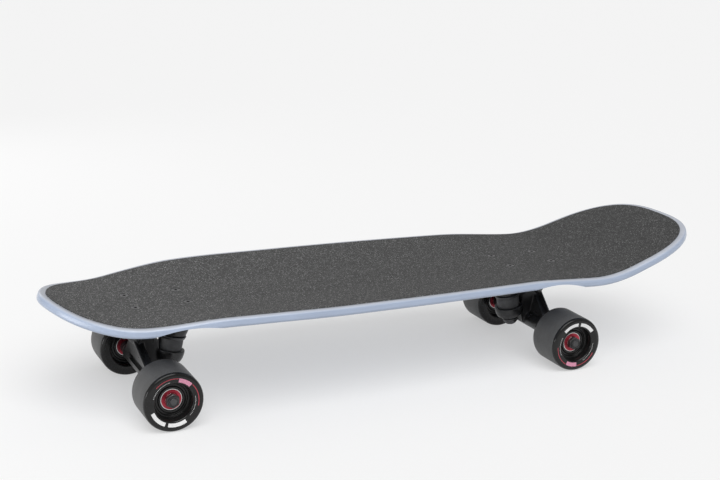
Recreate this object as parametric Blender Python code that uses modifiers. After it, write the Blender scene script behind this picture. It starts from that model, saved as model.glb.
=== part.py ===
"""A 29 inch cruiser skateboard with a kicked tail, two trucks and four wheels.

Metres, +Z up. +X runs to the nose and +Y to the board's left. The origin is on the floor,
under the middle of the deck's length, and the board stands on its four wheels.

Each truck is drawn in a frame of its own: the origin on the middle of its axle, x running
outboard to the near end of the deck, and z up. The rear truck is the front one turned half
round.
"""

import math

import bmesh
import bpy
from mathutils import Matrix, Vector

MM = 0.001
GAP = 0.3 * MM  # air left between two pieces that touch on the real board

# Deck, in plan
WHEELBASE = 456 * MM  # axle to axle
NOSE_OVERHANG = 102.5 * MM  # front axle to the nose tip
TAIL_OVERHANG = 180.1 * MM  # rear axle to the tail tip
DECK_WIDTH = 225.4 * MM  # at its widest, across the top edges
DECK_THICKNESS = 9 * MM
RIM_RADIUS = 3 * MM  # rounding of the deck's top and bottom edges
GRIP_THICKNESS = 0.7 * MM
GRIP_INSET = 6.7 * MM  # bare rim outside the grip

# Deck, in height
CONCAVE_RISE = 8.1 * MM  # edge above the centre line between the trucks
CONCAVE_END_RISE = 0.4 * MM  # what is left of it at the nose and the tail
CONCAVE_FLAT = 0.25  # level middle, as a share of the half width
CONCAVE_POWER = 1.35  # how the rise grows from there to the edge
CONCAVE_FRONT_IN = 58.7 * MM  # fade starts this far inboard of the front axle
CONCAVE_FRONT_OUT = 48 * MM
CONCAVE_REAR_IN = 66.7 * MM
CONCAVE_REAR_OUT = 48 * MM
SWELL_RISE = 1.2 * MM  # the edges rise this much more just behind the front truck
SWELL_FULL = 77 * MM  # inboard of the front axle
SWELL_END = 177 * MM
NOSE_KICK_START = 17.5 * MM  # ahead of the front axle
NOSE_KICK_RADIUS = 200 * MM
NOSE_KICK_ANGLE = math.radians(20.5)
TAIL_KICK_START = 22.1 * MM  # behind the rear axle
TAIL_KICK_RADIUS = 188 * MM
TAIL_KICK_ANGLE = math.radians(17.5)

# Wheel wells, shallow scoops in the underside over each wheel
WELL_DEPTH = 4.9 * MM
WELL_RADIUS = 122 * MM
WELL_STRETCH = 1.36  # longer across the board than along it
FRONT_WELL_INBOARD = 17 * MM  # a wheel swings inboard as the truck turns
REAR_WELL_INBOARD = 28 * MM
WELL_OFFSET = 90 * MM  # centre of the scoop from the board's centre line

# Truck bolts: two patterns of four countersunk bolts
BOLT_SPACING_LONG = 54 * MM
BOLT_SPACING_WIDE = 41.3 * MM
BOLT_INBOARD = 13.3 * MM  # pattern centre, inboard of the axle
BOLT_RADIUS = 2.4 * MM
BOLT_HEAD_RADIUS = 4.5 * MM
BOLT_HEAD_HEIGHT = 2.6 * MM
BOLT_HEAD_SUNK = 0.3 * MM  # below the grip
BOLT_NUT_WIDTH = 9.5 * MM
BOLT_NUT_HEIGHT = 5.5 * MM
BOLT_TIP = 1.5 * MM  # thread showing past the nut

# Wheels
WHEEL_DIAMETER = 60 * MM
WHEEL_WIDTH = 44 * MM
TRACK_WIDTH = 204 * MM  # outer wheel face to outer wheel face
TYRE_LIP_RADIUS = 4.5 * MM
TYRE_PRINT_RADIUS = 20 * MM  # inner edge of the flat band on the wheel's face
TYRE_FACE_RADIUS = 25.2 * MM  # outer edge of that band
TYRE_FACE_DISH = 0.8 * MM  # the band leans in by this much
CORE_RADIUS = 16.5 * MM
CORE_RIM_WIDTH = 1.6 * MM
CORE_WIDTH = 30 * MM
CORE_SHOULDER_RADIUS = 8.5 * MM
BEARING_RADIUS = 11 * MM
BEARING_WIDTH = 7 * MM
BEARING_SPACING = 10 * MM
BEARING_RECESS = 10 * MM  # outer bearing's face behind the wheel's face

# Axle, washers and nuts
AXLE_RADIUS = 4 * MM
AXLE_RECESS = 2 * MM  # axle end behind the wheel's face
AXLE_CHAMFER = 0.8 * MM
SPEED_WASHER_RADIUS = 6.5 * MM
SPEED_WASHER_THICKNESS = 1 * MM
AXLE_NUT_WIDTH = 12.7 * MM
AXLE_NUT_HEIGHT = 6 * MM

# Truck, from the axle up
TRUCK_HEIGHT = 57 * MM  # axle centre to the top of the baseplate
RISER_THICKNESS = 4.7 * MM
PLATE_LENGTH = 82 * MM
PLATE_WIDTH = 57 * MM
PLATE_THICKNESS = 6 * MM
PLATE_CORNER = 9 * MM
RIB_WIDTH = 15 * MM  # rib under the plate, between its two bosses
RIB_DROP = 5 * MM

# Kingpin and the ring of the hanger that it holds
RING_INBOARD = 25.5 * MM  # ring centre, inboard of the axle
RING_HEIGHT = 13 * MM  # and above it
RING_TOP_RADIUS = 16 * MM
RING_BOTTOM_RADIUS = 11.5 * MM
RING_THICKNESS = 10 * MM
RING_BORE_RADIUS = 6.6 * MM  # wide enough for the ring to tilt round the kingpin
NUT_ROOM = 1.2 * MM  # below the ring, round its foot, where washer and nut stand as it tilts
NUT_ROOM_FLARE = 0.5 * MM
NUT_ROOM_DEPTH = 16 * MM
KINGPIN_LEAN = math.radians(12)  # its lower end leans outboard
KINGPIN_RADIUS = 4.76 * MM
KINGPIN_HEAD_RADIUS = 8.2 * MM
KINGPIN_HEAD_HEIGHT = 5 * MM
KINGPIN_TIP = 1.2 * MM  # thread showing past the nut
KINGPIN_NUT_WIDTH = 14.3 * MM
KINGPIN_NUT_HEIGHT = 6.5 * MM
KINGPIN_BOSS_RADIUS = 14 * MM
WASHER_THICKNESS = 1.5 * MM
BOARDSIDE_WASHER_RADIUS = 13.2 * MM
ROADSIDE_WASHER_RADIUS = 9 * MM
BOARDSIDE_BUSHING_RADIUS = 12.7 * MM
BOARDSIDE_BUSHING_HEIGHT = 15 * MM
BOARDSIDE_SEAT_DEPTH = 2 * MM
ROADSIDE_BUSHING_RADIUS = 9.6 * MM
ROADSIDE_BUSHING_HEIGHT = 6 * MM
ROADSIDE_SEAT_DEPTH = 1.5 * MM
BUSHING_TAPER = 0.9  # narrow end as a share of the wide end

# Pivot: the hanger's nose turns in a urethane cup in the baseplate
PIVOT_OUTBOARD = 20.5 * MM
PIVOT_HEIGHT = 45.5 * MM
PIVOT_RADIUS = 5.4 * MM
PIVOT_TIP_LENGTH = 2.5 * MM
PIVOT_DEPTH = 6.5 * MM  # cup mouth to the middle of the pivot's tip
PIVOT_CUP_RADIUS = 8 * MM
PIVOT_CUP_FLOOR = 1.2 * MM
PIVOT_BOSS_RADIUS = 10.5 * MM
PIVOT_BOSS_WALL = 2.5 * MM  # behind the cup
NECK_RADIUS = 10 * MM
NECK_LENGTH = 22 * MM
NECK_CLEARANCE = 1.5 * MM  # neck shoulder short of the cup's mouth

# Hanger body
HOUSING_RADIUS = 8.8 * MM
HOUSING_END_RADIUS = 7.2 * MM
HOUSING_END_LENGTH = 12 * MM
WEB_THICKNESS = 7 * MM
WEB_TOP_HALF_WIDTH = 12 * MM
WEB_BOTTOM_HALF_WIDTH = 47 * MM
WEB_HEIGHT = 37 * MM
WEB_LEAN = math.radians(7)
KEEL_WIDTH = 16 * MM

# Numbers of sides on the turned pieces
WHEEL_SIDES = 32
ROUND_SIDES = 20
SMALL_SIDES = 12

# Deck mesh: bands across half the width, and steps between two outline points
DECK_BANDS = 4
OUTLINE_STEPS = 2

# Places that follow from the sizes above
AXLE_HEIGHT = WHEEL_DIAMETER / 2
DECK_LENGTH = NOSE_OVERHANG + WHEELBASE + TAIL_OVERHANG
FRONT_AXLE_X = DECK_LENGTH / 2 - NOSE_OVERHANG
REAR_AXLE_X = FRONT_AXLE_X - WHEELBASE
HALF_WIDTH = DECK_WIDTH / 2
WHEEL_FACE = TRACK_WIDTH / 2
OUTER_BEARING_FACE = WHEEL_FACE - BEARING_RECESS
INNER_BEARING_FACE = OUTER_BEARING_FACE - 2 * BEARING_WIDTH - BEARING_SPACING
HANGER_HALF_WIDTH = INNER_BEARING_FACE - SPEED_WASHER_THICKNESS - 2 * GAP
AXLE_HALF_LENGTH = WHEEL_FACE - AXLE_RECESS
BASEPLATE_TOP = AXLE_HEIGHT + TRUCK_HEIGHT
RISER_BOTTOM = BASEPLATE_TOP + GAP
DECK_BOTTOM = RISER_BOTTOM + RISER_THICKNESS + GAP
DECK_TOP = DECK_BOTTOM + DECK_THICKNESS
GRIP_TOP = DECK_TOP + GAP + GRIP_THICKNESS

# The deck's left edge from nose to tail: share of the nose overhang, the wheelbase or the
# tail overhang, and share of the half width
NOSE_OUTLINE = [(1, 0), (0.964, 0.184), (0.86, 0.397), (0.704, 0.574), (0.457, 0.736), (0.132, 0.848)]
MIDDLE_OUTLINE = [(0.94, 0.917), (0.83, 0.97), (0.665, 0.998), (0.434, 0.991), (0.214, 0.955), (0.008, 0.9035)]
TAIL_OUTLINE = [(0.407, 0.866), (0.664, 0.8195), (0.813, 0.725), (0.912, 0.587), (0.967, 0.424), (0.993, 0.247), (1, 0)]

# Finishes: colour, metallic, roughness
FINISHES = {
    "lacquered_maple": ((0.34, 0.44, 0.68), 0.0, 0.35),
    "grip_grit": ((0.085, 0.085, 0.085), 0.0, 0.95),
    "black_casting": ((0.012, 0.012, 0.013), 0.3, 0.38),
    "black_pad": ((0.02, 0.02, 0.02), 0.0, 0.7),
    "black_steel": ((0.03, 0.03, 0.032), 0.8, 0.4),
    "bright_steel": ((0.62, 0.62, 0.62), 1.0, 0.28),
    "grey_urethane": ((0.06, 0.06, 0.062), 0.0, 0.55),
    "tread_urethane": ((0.045, 0.045, 0.047), 0.0, 0.6),
    "core_plastic": ((0.012, 0.012, 0.012), 0.0, 0.25),
    "bearing_steel": ((0.5, 0.05, 0.06), 0.6, 0.3),
}


def start_scene():
    """Empty the scene and return the collections for the board and for its cutters."""
    for thing in list(bpy.data.objects):
        bpy.data.objects.remove(thing, do_unlink=True)
    board = bpy.data.collections.new("cruiser_skateboard")
    cutters = bpy.data.collections.new("cutters")
    bpy.context.scene.collection.children.link(board)
    bpy.context.scene.collection.children.link(cutters)
    return board, cutters


def make_materials():
    """Return one Principled material for each finish."""
    materials = {}
    for name, (colour, metallic, roughness) in FINISHES.items():
        material = bpy.data.materials.new(name)
        material.use_nodes = True
        shader = material.node_tree.nodes["Principled BSDF"]
        shader.inputs["Base Color"].default_value = (*colour, 1.0)
        shader.inputs["Metallic"].default_value = metallic
        shader.inputs["Roughness"].default_value = roughness
        material.diffuse_color = (*colour, 1.0)
        materials[name] = material
    return materials


BOARD, CUTTERS = start_scene()
MATERIALS = make_materials()


# Helpers

def clear_radius(radius, sides):
    """Radius of a faceted bore whose flats clear a round piece by the gap."""
    return (radius + GAP) / math.cos(math.pi / sides)


def flat_radius(radius, sides):
    """Corner radius of a faceted ring whose flats lie at the given radius."""
    return radius / math.cos(math.pi / sides)


def move(x=0.0, y=0.0, z=0.0):
    return Matrix.Translation((x, y, z))


def turn(angle, axis):
    return Matrix.Rotation(angle, 4, axis)


def add_object(name, data, place, finish=None, parent=None):
    """Put an object in the scene: a piece of the board, or a cutter where it has no finish."""
    piece = bpy.data.objects.new(name, data)
    if finish:
        BOARD.objects.link(piece)
        piece.data.materials.clear()
        piece.data.materials.append(MATERIALS[finish])
    else:
        CUTTERS.objects.link(piece)
        piece.hide_render = True
        piece.display_type = "WIRE"
    if parent:
        piece.parent = parent
        piece.matrix_parent_inverse = parent.matrix_world.inverted()
    piece.matrix_world = place
    return piece


def add_axis(name, place):
    """Add the empty on whose Z axis a moving body turns."""
    empty = bpy.data.objects.new(name, None)
    empty.empty_display_size = 0.03
    BOARD.objects.link(empty)
    empty.matrix_world = place
    bpy.context.view_layer.update()
    return empty


def shade(mesh):
    mesh.shade_smooth()
    mesh.set_sharp_from_angle(angle=math.radians(35))


def turned(name, profile, place, finish=None, parent=None, sides=ROUND_SIDES, closed=True, flat_below=False):
    """Turn a profile of (radius, height) points round its own Z axis with a Screw modifier."""
    mesh = bpy.data.meshes.new(name)
    start = math.pi / sides if flat_below else 0.0
    points = [(r * math.cos(start), r * math.sin(start), h) for r, h in profile]
    edges = [(i, i + 1) for i in range(len(points) - 1)]
    if closed:
        edges.append((len(points) - 1, 0))
    mesh.from_pydata(points, edges, [])
    piece = add_object(name, mesh, place, finish, parent)
    screw = piece.modifiers.new("turn", "SCREW")
    screw.axis = "Z"
    screw.steps = sides
    screw.render_steps = sides
    screw.use_merge_vertices = True
    screw.merge_threshold = 0.02 * MM
    screw.use_smooth_shade = True
    return piece


def ring(inner, outer, low, high):
    """Closed profile of a flat ring, down its outer side first."""
    return [(outer, high), (outer, low), (inner, low), (inner, high)]


def pin(radius, low, high, chamfer=0.0):
    """Open profile of a solid pin, from the middle of its top to the middle of its foot."""
    if not chamfer:
        return [(0, high), (radius, high), (radius, low), (0, low)]
    return [
        (0, high),
        (radius - chamfer, high),
        (radius, high - chamfer),
        (radius, low + chamfer),
        (radius - chamfer, low),
        (0, low),
    ]


def baked_mesh(piece, name):
    """Return the mesh that an object's modifiers or curve make, in place, with its seams welded."""
    graph = bpy.context.evaluated_depsgraph_get()
    mesh = bpy.data.meshes.new_from_object(piece.evaluated_get(graph))
    mesh.transform(piece.matrix_world)
    mesh.name = name
    welded = bmesh.new()
    welded.from_mesh(mesh)
    bmesh.ops.remove_doubles(welded, verts=welded.verts, dist=0.005 * MM)
    welded.to_mesh(mesh)
    welded.free()
    return mesh


def flat_piece(name, outline, thickness, place, finish=None, parent=None):
    """Extrude a flat outline evenly to both sides of its plane."""
    curve = bpy.data.curves.new(name, "CURVE")
    curve.dimensions = "2D"
    curve.fill_mode = "BOTH"
    curve.extrude = thickness / 2
    spline = curve.splines.new("POLY")
    spline.points.add(len(outline) - 1)
    for point, (x, y) in zip(spline.points, outline):
        point.co = (x, y, 0, 1)
    spline.use_cyclic_u = True
    drawn = add_object(name + "_outline", curve, Matrix.Identity(4))
    bpy.context.view_layer.update()
    mesh = baked_mesh(drawn, name)
    bpy.data.objects.remove(drawn, do_unlink=True)
    return add_object(name, mesh, place, finish, parent)


def block(name, size, place):
    """A box-shaped cutter."""
    box = bmesh.new()
    bmesh.ops.create_cube(box, size=1)
    bmesh.ops.scale(box, vec=size, verts=box.verts)
    mesh = bpy.data.meshes.new(name)
    box.to_mesh(mesh)
    box.free()
    return add_object(name, mesh, place)


def rounded_rectangle(length, width, radius, steps=4):
    """Outline of a rectangle with round corners, anticlockwise."""
    points = []
    for corner in range(4):
        sign_x = 1 if corner in (0, 3) else -1
        sign_y = 1 if corner in (0, 1) else -1
        for step in range(steps + 1):
            angle = math.radians(90) * (corner + step / steps)
            x = sign_x * (length / 2 - radius) + radius * math.cos(angle)
            y = sign_y * (width / 2 - radius) + radius * math.sin(angle)
            points.append((x, y))
    return points


def combine(piece, operation, others):
    """Join a group of objects to a piece, or cut them away, with one exact Boolean."""
    group = bpy.data.collections.new(f"{piece.name}_{others[0].name}")
    CUTTERS.children.link(group)
    for other in others:
        CUTTERS.objects.unlink(other)
        group.objects.link(other)
    boolean = piece.modifiers.new(operation.lower(), "BOOLEAN")
    boolean.operation = operation
    boolean.operand_type = "COLLECTION"
    boolean.collection = group
    boolean.solver = "EXACT"


def hexagon(width):
    """Corner radius of a hexagon of the given width across its flats."""
    return width / 2 / math.cos(math.pi / 6)


# Deck and grip

def through_points(points, steps):
    """Points along a smooth curve through the given points: a centripetal Catmull-Rom curve.

    The outline crosses the centre line square at both tips, so the curve's end tangents come
    from the mirror images of the second point and the last but one.
    """
    first = Vector((points[1].x, -points[1].y))
    last = Vector((points[-2].x, -points[-2].y))
    chain = [first, *points, last]
    curve = []
    for p0, p1, p2, p3 in zip(chain, chain[1:], chain[2:], chain[3:]):
        t1 = (p1 - p0).length ** 0.5
        t2 = t1 + (p2 - p1).length ** 0.5
        t3 = t2 + (p3 - p2).length ** 0.5
        for step in range(steps):
            t = t1 + (t2 - t1) * step / steps
            a1 = p0.lerp(p1, t / t1)
            a2 = p1.lerp(p2, (t - t1) / (t2 - t1))
            a3 = p2.lerp(p3, (t - t2) / (t3 - t2))
            b1 = a1.lerp(a2, t / t2)
            b2 = a2.lerp(a3, (t - t1) / (t3 - t1))
            curve.append(b1.lerp(b2, (t - t1) / (t2 - t1)))
    curve.append(points[-1].copy())
    return curve


def deck_outline():
    """The deck's left edge in plan, from the nose tip to the tail tip."""
    points = [Vector((FRONT_AXLE_X + s * NOSE_OVERHANG, w * HALF_WIDTH)) for s, w in NOSE_OUTLINE]
    points += [Vector((REAR_AXLE_X + s * WHEELBASE, w * HALF_WIDTH)) for s, w in MIDDLE_OUTLINE]
    points += [Vector((REAR_AXLE_X - s * TAIL_OVERHANG, w * HALF_WIDTH)) for s, w in TAIL_OUTLINE]
    return through_points(points, OUTLINE_STEPS)


def inset_outline(outline, inset):
    """The outline moved inwards, square to itself."""
    moved = []
    last = len(outline) - 1
    for i, point in enumerate(outline):
        along = outline[min(i + 1, last)] - outline[max(i - 1, 0)]
        if i in (0, last):
            along = Vector((0, 1 if i == 0 else -1))
        inward = Vector((along.y, -along.x)).normalized()
        moved.append(point - inward * inset)
    moved[0].y = 0
    moved[-1].y = 0
    return moved


def fade(share):
    """Ease from 0 to 1 as the share goes from 0 to 1."""
    share = min(max(share, 0.0), 1.0)
    return share * share * (3 - 2 * share)


def kick(run, radius, angle):
    """Rise of a kick after a run: an arc up to its angle, then straight."""
    if run <= 0:
        return 0.0
    arc = radius * math.sin(angle)
    if run < arc:
        return radius - math.sqrt(radius * radius - run * run)
    return radius * (1 - math.cos(angle)) + (run - arc) * math.tan(angle)


def deck_height(x, y):
    """Rise of the deck's top over its lowest line, at a place in plan."""
    front = (FRONT_AXLE_X + CONCAVE_FRONT_OUT - x) / (CONCAVE_FRONT_IN + CONCAVE_FRONT_OUT)
    rear = (x - REAR_AXLE_X + CONCAVE_REAR_OUT) / (CONCAVE_REAR_IN + CONCAVE_REAR_OUT)
    share = min(fade(front), fade(rear))
    swell = fade((x - FRONT_AXLE_X + SWELL_END) / (SWELL_END - SWELL_FULL))
    concave = CONCAVE_END_RISE + (CONCAVE_RISE - CONCAVE_END_RISE) * share
    concave += SWELL_RISE * min(fade(front), swell)
    nose = kick(x - FRONT_AXLE_X - NOSE_KICK_START, NOSE_KICK_RADIUS, NOSE_KICK_ANGLE)
    tail = kick(REAR_AXLE_X - TAIL_KICK_START - x, TAIL_KICK_RADIUS, TAIL_KICK_ANGLE)
    across = max(abs(y) / HALF_WIDTH - CONCAVE_FLAT, 0.0) / (1 - CONCAVE_FLAT)
    return concave * across ** CONCAVE_POWER + nose + tail


def deck_sheet(name, height, finish, inner, rim=None):
    """An open sheet that follows the deck's shape, ready for its thickness.

    Columns run across the board from edge to edge, between the two halves of the inner
    outline. Where a rim outline is given, one more row on each side reaches out to it.
    """
    half_rows = DECK_BANDS + (1 if rim else 0)
    columns = len(inner) - 1
    sheet = bmesh.new()
    bmesh.ops.create_grid(sheet, x_segments=columns, y_segments=2 * half_rows, size=1)
    for vertex in sheet.verts:
        column = round((1 - vertex.co.x) / 2 * columns)
        row = round(vertex.co.y * half_rows)
        if abs(row) > DECK_BANDS:
            x = rim[column].x
            y = math.copysign(rim[column].y, row)
        else:
            x = inner[column].x
            y = inner[column].y * row / DECK_BANDS
        vertex.co = (x, y, height + deck_height(x, y))
    bmesh.ops.remove_doubles(sheet, verts=sheet.verts, dist=0.01 * MM)
    bmesh.ops.recalc_face_normals(sheet, faces=sheet.faces)
    # deck and grip share their diagonals, so the gap between them stays even
    bmesh.ops.triangulate(sheet, faces=sheet.faces, quad_method="SHORT_EDGE")
    mesh = bpy.data.meshes.new(name)
    sheet.to_mesh(mesh)
    sheet.free()
    shade(mesh)
    return add_object(name, mesh, Matrix.Identity(4), finish)


def thicken(piece, thickness, offset):
    solidify = piece.modifiers.new("thickness", "SOLIDIFY")
    solidify.thickness = thickness
    solidify.offset = offset
    solidify.use_even_offset = True


def bolt_places():
    """The eight bolt positions in plan, with a name for each."""
    places = []
    for end, outboard, axle_x in (("front", 1, FRONT_AXLE_X), ("rear", -1, REAR_AXLE_X)):
        centre = axle_x - outboard * BOLT_INBOARD
        number = 1
        for along in (1, -1):
            for side in (1, -1):
                x = centre + outboard * along * BOLT_SPACING_LONG / 2
                places.append((f"{end}_deck_bolt_{number}", x, side * BOLT_SPACING_WIDE / 2))
                number += 1
    return places


def bolt_hole_profile(top, bottom, sides):
    """Profile of the countersunk hole that a deck bolt fits, open above and below."""
    shank = clear_radius(BOLT_RADIUS, sides)
    head = clear_radius(BOLT_HEAD_RADIUS, sides)
    seat = GRIP_TOP - BOLT_HEAD_SUNK - GAP
    return [(0, top), (head, top), (head, seat), (shank, seat - BOLT_HEAD_HEIGHT), (shank, bottom), (0, bottom)]


def well_cutters():
    """Four stretched balls that scoop the wheel wells out of the deck's underside."""
    cutters = []
    for middle in (FRONT_AXLE_X - FRONT_WELL_INBOARD, REAR_AXLE_X + REAR_WELL_INBOARD):
        for side in (1, -1):
            x = middle
            y = side * WELL_OFFSET
            step = 1 * MM
            slope_x = (deck_height(x + step, y) - deck_height(x - step, y)) / (2 * step)
            slope_y = (deck_height(x, y + step) - deck_height(x, y - step)) / (2 * step)
            up = Vector((-slope_x, -slope_y, 1)).normalized()
            surface = Vector((x, y, DECK_TOP + deck_height(x, y))) - up * DECK_THICKNESS
            ball = bmesh.new()
            bmesh.ops.create_uvsphere(ball, u_segments=20, v_segments=36, radius=WELL_RADIUS)
            bmesh.ops.scale(ball, vec=(1, WELL_STRETCH, 1), verts=ball.verts)
            mesh = bpy.data.meshes.new("well_cutter")
            ball.to_mesh(mesh)
            ball.free()
            tilt = Vector((0, 0, 1)).rotation_difference(up).to_matrix().to_4x4()
            centre = surface - up * (WELL_RADIUS - WELL_DEPTH)
            cutters.append(add_object("well_cutter", mesh, Matrix.Translation(centre) @ tilt))
    return cutters


def bolt_hole_cutters():
    """Countersunk holes through grip and deck, one for each truck bolt."""
    cutters = []
    profile = bolt_hole_profile(GRIP_TOP + 5 * MM, DECK_BOTTOM - 5 * MM, SMALL_SIDES)
    for name, x, y in bolt_places():
        cutters.append(turned(name + "_hole", profile, move(x, y), sides=SMALL_SIDES, closed=False))
    return cutters


def make_deck():
    """The pressed maple deck and the grip sheet on it."""
    outline = deck_outline()
    grip_outline = inset_outline(outline, GRIP_INSET)

    deck = deck_sheet("deck", DECK_TOP, "lacquered_maple", grip_outline, outline)
    thicken(deck, DECK_THICKNESS, -1)
    bevel = deck.modifiers.new("rim", "BEVEL")
    bevel.width = RIM_RADIUS
    bevel.segments = 2
    bevel.limit_method = "ANGLE"
    bevel.angle_limit = math.radians(50)
    combine(deck, "DIFFERENCE", well_cutters())
    combine(deck, "DIFFERENCE", bolt_hole_cutters())

    grip = deck_sheet("grip_tape", DECK_TOP + GAP, "grip_grit", grip_outline)
    thicken(grip, GRIP_THICKNESS, 1)

    combine(grip, "DIFFERENCE", bolt_hole_cutters())


# Bolts and nuts

def hex_prism(name, width, low, high, place):
    """A six-sided cutter or nut blank."""
    prism = bmesh.new()
    bmesh.ops.create_cone(
        prism, cap_ends=True, segments=6, radius1=hexagon(width), radius2=hexagon(width), depth=high - low
    )
    bmesh.ops.translate(prism, vec=(0, 0, (low + high) / 2), verts=prism.verts)
    mesh = bpy.data.meshes.new(name)
    prism.to_mesh(mesh)
    prism.free()
    return add_object(name, mesh, place)


def nut_mesh(name, width, bore, height):
    """A hexagon nut that stands on its own Z axis, from 0 to its height."""
    nut = hex_prism(name + "_blank", width, 0, height, Matrix.Identity(4))
    over = 1 * MM
    hole = turned(name + "_hole", pin(bore, -over, height + over), Matrix.Identity(4), closed=False, sides=SMALL_SIDES)
    combine(nut, "DIFFERENCE", [hole])
    bpy.context.view_layer.update()
    return baked_mesh(nut, name)


def make_deck_bolts():
    """The eight countersunk bolts, each with its nut run up under the baseplate."""
    head_top = GRIP_TOP - BOLT_HEAD_SUNK
    nut_top = BASEPLATE_TOP - PLATE_THICKNESS - GAP
    nut_bottom = nut_top - BOLT_NUT_HEIGHT
    profile = [
        (0, head_top),
        (BOLT_HEAD_RADIUS, head_top),
        (BOLT_RADIUS, head_top - BOLT_HEAD_HEIGHT),
        (BOLT_RADIUS, nut_bottom - BOLT_TIP),
        (0, nut_bottom - BOLT_TIP),
    ]
    sample = turned("deck_bolt_shank", profile, Matrix.Identity(4), closed=False, sides=SMALL_SIDES)
    nut = hex_prism("deck_bolt_nut", BOLT_NUT_WIDTH, nut_bottom, nut_top, Matrix.Identity(4))
    combine(sample, "UNION", [nut])
    bpy.context.view_layer.update()
    mesh = baked_mesh(sample, "deck_bolt")
    for name, x, y in bolt_places():
        add_object(name, mesh, move(x, y), "black_steel")


# Trucks

def steering_line():
    """Start of the steering axis at the ring's centre, and its tilt from upright."""
    start = Vector((-RING_INBOARD, 0, RING_HEIGHT))
    end = Vector((PIVOT_OUTBOARD, 0, PIVOT_HEIGHT))
    along = end - start
    return start, end, math.atan2(along.x, along.z)


def kingpin_stack():
    """Heights along the kingpin, measured up from the ring's centre."""
    half = RING_THICKNESS / 2
    stack = {}
    stack["boardside_bushing"] = half - BOARDSIDE_SEAT_DEPTH + GAP
    stack["boardside_washer"] = stack["boardside_bushing"] + BOARDSIDE_BUSHING_HEIGHT + GAP
    stack["boss"] = stack["boardside_washer"] + WASHER_THICKNESS + GAP
    stack["roadside_bushing"] = -half + ROADSIDE_SEAT_DEPTH - GAP - ROADSIDE_BUSHING_HEIGHT
    stack["roadside_washer"] = stack["roadside_bushing"] - GAP - WASHER_THICKNESS
    stack["nut"] = stack["roadside_washer"] - GAP - KINGPIN_NUT_HEIGHT
    stack["tip"] = stack["nut"] - KINGPIN_TIP
    stack["plate_top"] = (TRUCK_HEIGHT - RING_HEIGHT) / math.cos(KINGPIN_LEAN)
    slant = KINGPIN_HEAD_RADIUS * math.tan(KINGPIN_LEAN)
    stack["head_top"] = stack["plate_top"] - slant - GAP
    stack["head"] = stack["head_top"] - KINGPIN_HEAD_HEIGHT
    return stack


def pivot_cup_depth():
    """Depth of the pocket in the urethane cup."""
    return PIVOT_DEPTH + PIVOT_TIP_LENGTH + GAP


def plate_hole_cutters(low, high):
    """The four bolt holes of a baseplate or a riser pad, in the truck's frame."""
    hole = pin(clear_radius(BOLT_RADIUS, SMALL_SIDES), low, high)
    cutters = []
    for along in (1, -1):
        for side in (1, -1):
            place = move(-BOLT_INBOARD + along * BOLT_SPACING_LONG / 2, side * BOLT_SPACING_WIDE / 2)
            cutters.append(turned("bolt_hole", hole, place, sides=SMALL_SIDES, closed=False))
    return cutters


def baseplate_mesh(kingpin_place, pivot_place):
    """The baseplate casting: bolt plate, kingpin boss, pivot boss and the rib between them."""
    stack = kingpin_stack()
    plate_bottom = TRUCK_HEIGHT - PLATE_THICKNESS
    outline = rounded_rectangle(PLATE_LENGTH, PLATE_WIDTH, PLATE_CORNER)
    middle = move(-BOLT_INBOARD, 0, TRUCK_HEIGHT - PLATE_THICKNESS / 2)
    plate = flat_piece("baseplate_blank", outline, PLATE_THICKNESS, middle)

    boss = pin(KINGPIN_BOSS_RADIUS, stack["boss"], stack["plate_top"])
    kingpin_boss = turned("kingpin_boss", boss, kingpin_place, closed=False)
    cup_end = pivot_cup_depth() + PIVOT_CUP_FLOOR + GAP - PIVOT_DEPTH
    boss = pin(PIVOT_BOSS_RADIUS, -PIVOT_DEPTH - 2 * MM, cup_end + PIVOT_BOSS_WALL)
    pivot_boss = turned("pivot_boss", boss, pivot_place, closed=False)
    rib_length = PIVOT_OUTBOARD + RING_INBOARD
    rib_middle = (PIVOT_OUTBOARD - RING_INBOARD) / 2
    rib = block("baseplate_rib", (rib_length, RIB_WIDTH, 2 * RIB_DROP), move(rib_middle, 0, plate_bottom))
    combine(plate, "UNION", [kingpin_boss, pivot_boss, rib])

    shank = clear_radius(KINGPIN_RADIUS, ROUND_SIDES)
    head = clear_radius(KINGPIN_HEAD_RADIUS, ROUND_SIDES)
    over = 10 * MM
    bore = [
        (0, stack["plate_top"] + over),
        (head, stack["plate_top"] + over),
        (head, stack["head"] - GAP),
        (shank, stack["head"] - GAP),
        (shank, stack["boss"] - over),
        (0, stack["boss"] - over),
    ]
    kingpin_bore = turned("kingpin_bore", bore, kingpin_place, closed=False)
    cup_seat = clear_radius(PIVOT_CUP_RADIUS, ROUND_SIDES)
    neck_room = NECK_RADIUS + 2 * MM
    pocket = [
        (0, cup_end),
        (cup_seat, cup_end),
        (cup_seat, -PIVOT_DEPTH),
        (neck_room, -PIVOT_DEPTH),
        (neck_room, -PIVOT_DEPTH - NECK_LENGTH),
        (0, -PIVOT_DEPTH - NECK_LENGTH),
    ]
    pivot_pocket = turned("pivot_pocket", pocket, pivot_place, closed=False)
    shave = block("baseplate_shave", (0.2, 0.2, 0.04), move(0, 0, TRUCK_HEIGHT + 0.02))
    holes = plate_hole_cutters(plate_bottom - over, TRUCK_HEIGHT + over / 2)
    combine(plate, "DIFFERENCE", [kingpin_bore, pivot_pocket, shave, *holes])
    bpy.context.view_layer.update()
    mesh = baked_mesh(plate, "baseplate")
    shade(mesh)
    return mesh


def riser_mesh():
    """The flat pad between baseplate and deck, drawn with its foot at height 0."""
    outline = rounded_rectangle(PLATE_LENGTH, PLATE_WIDTH, PLATE_CORNER)
    pad = flat_piece("riser_blank", outline, RISER_THICKNESS, move(-BOLT_INBOARD, 0, RISER_THICKNESS / 2))
    combine(pad, "DIFFERENCE", plate_hole_cutters(-RISER_THICKNESS, 2 * RISER_THICKNESS))
    bpy.context.view_layer.update()
    return baked_mesh(pad, "riser_pad")


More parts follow.
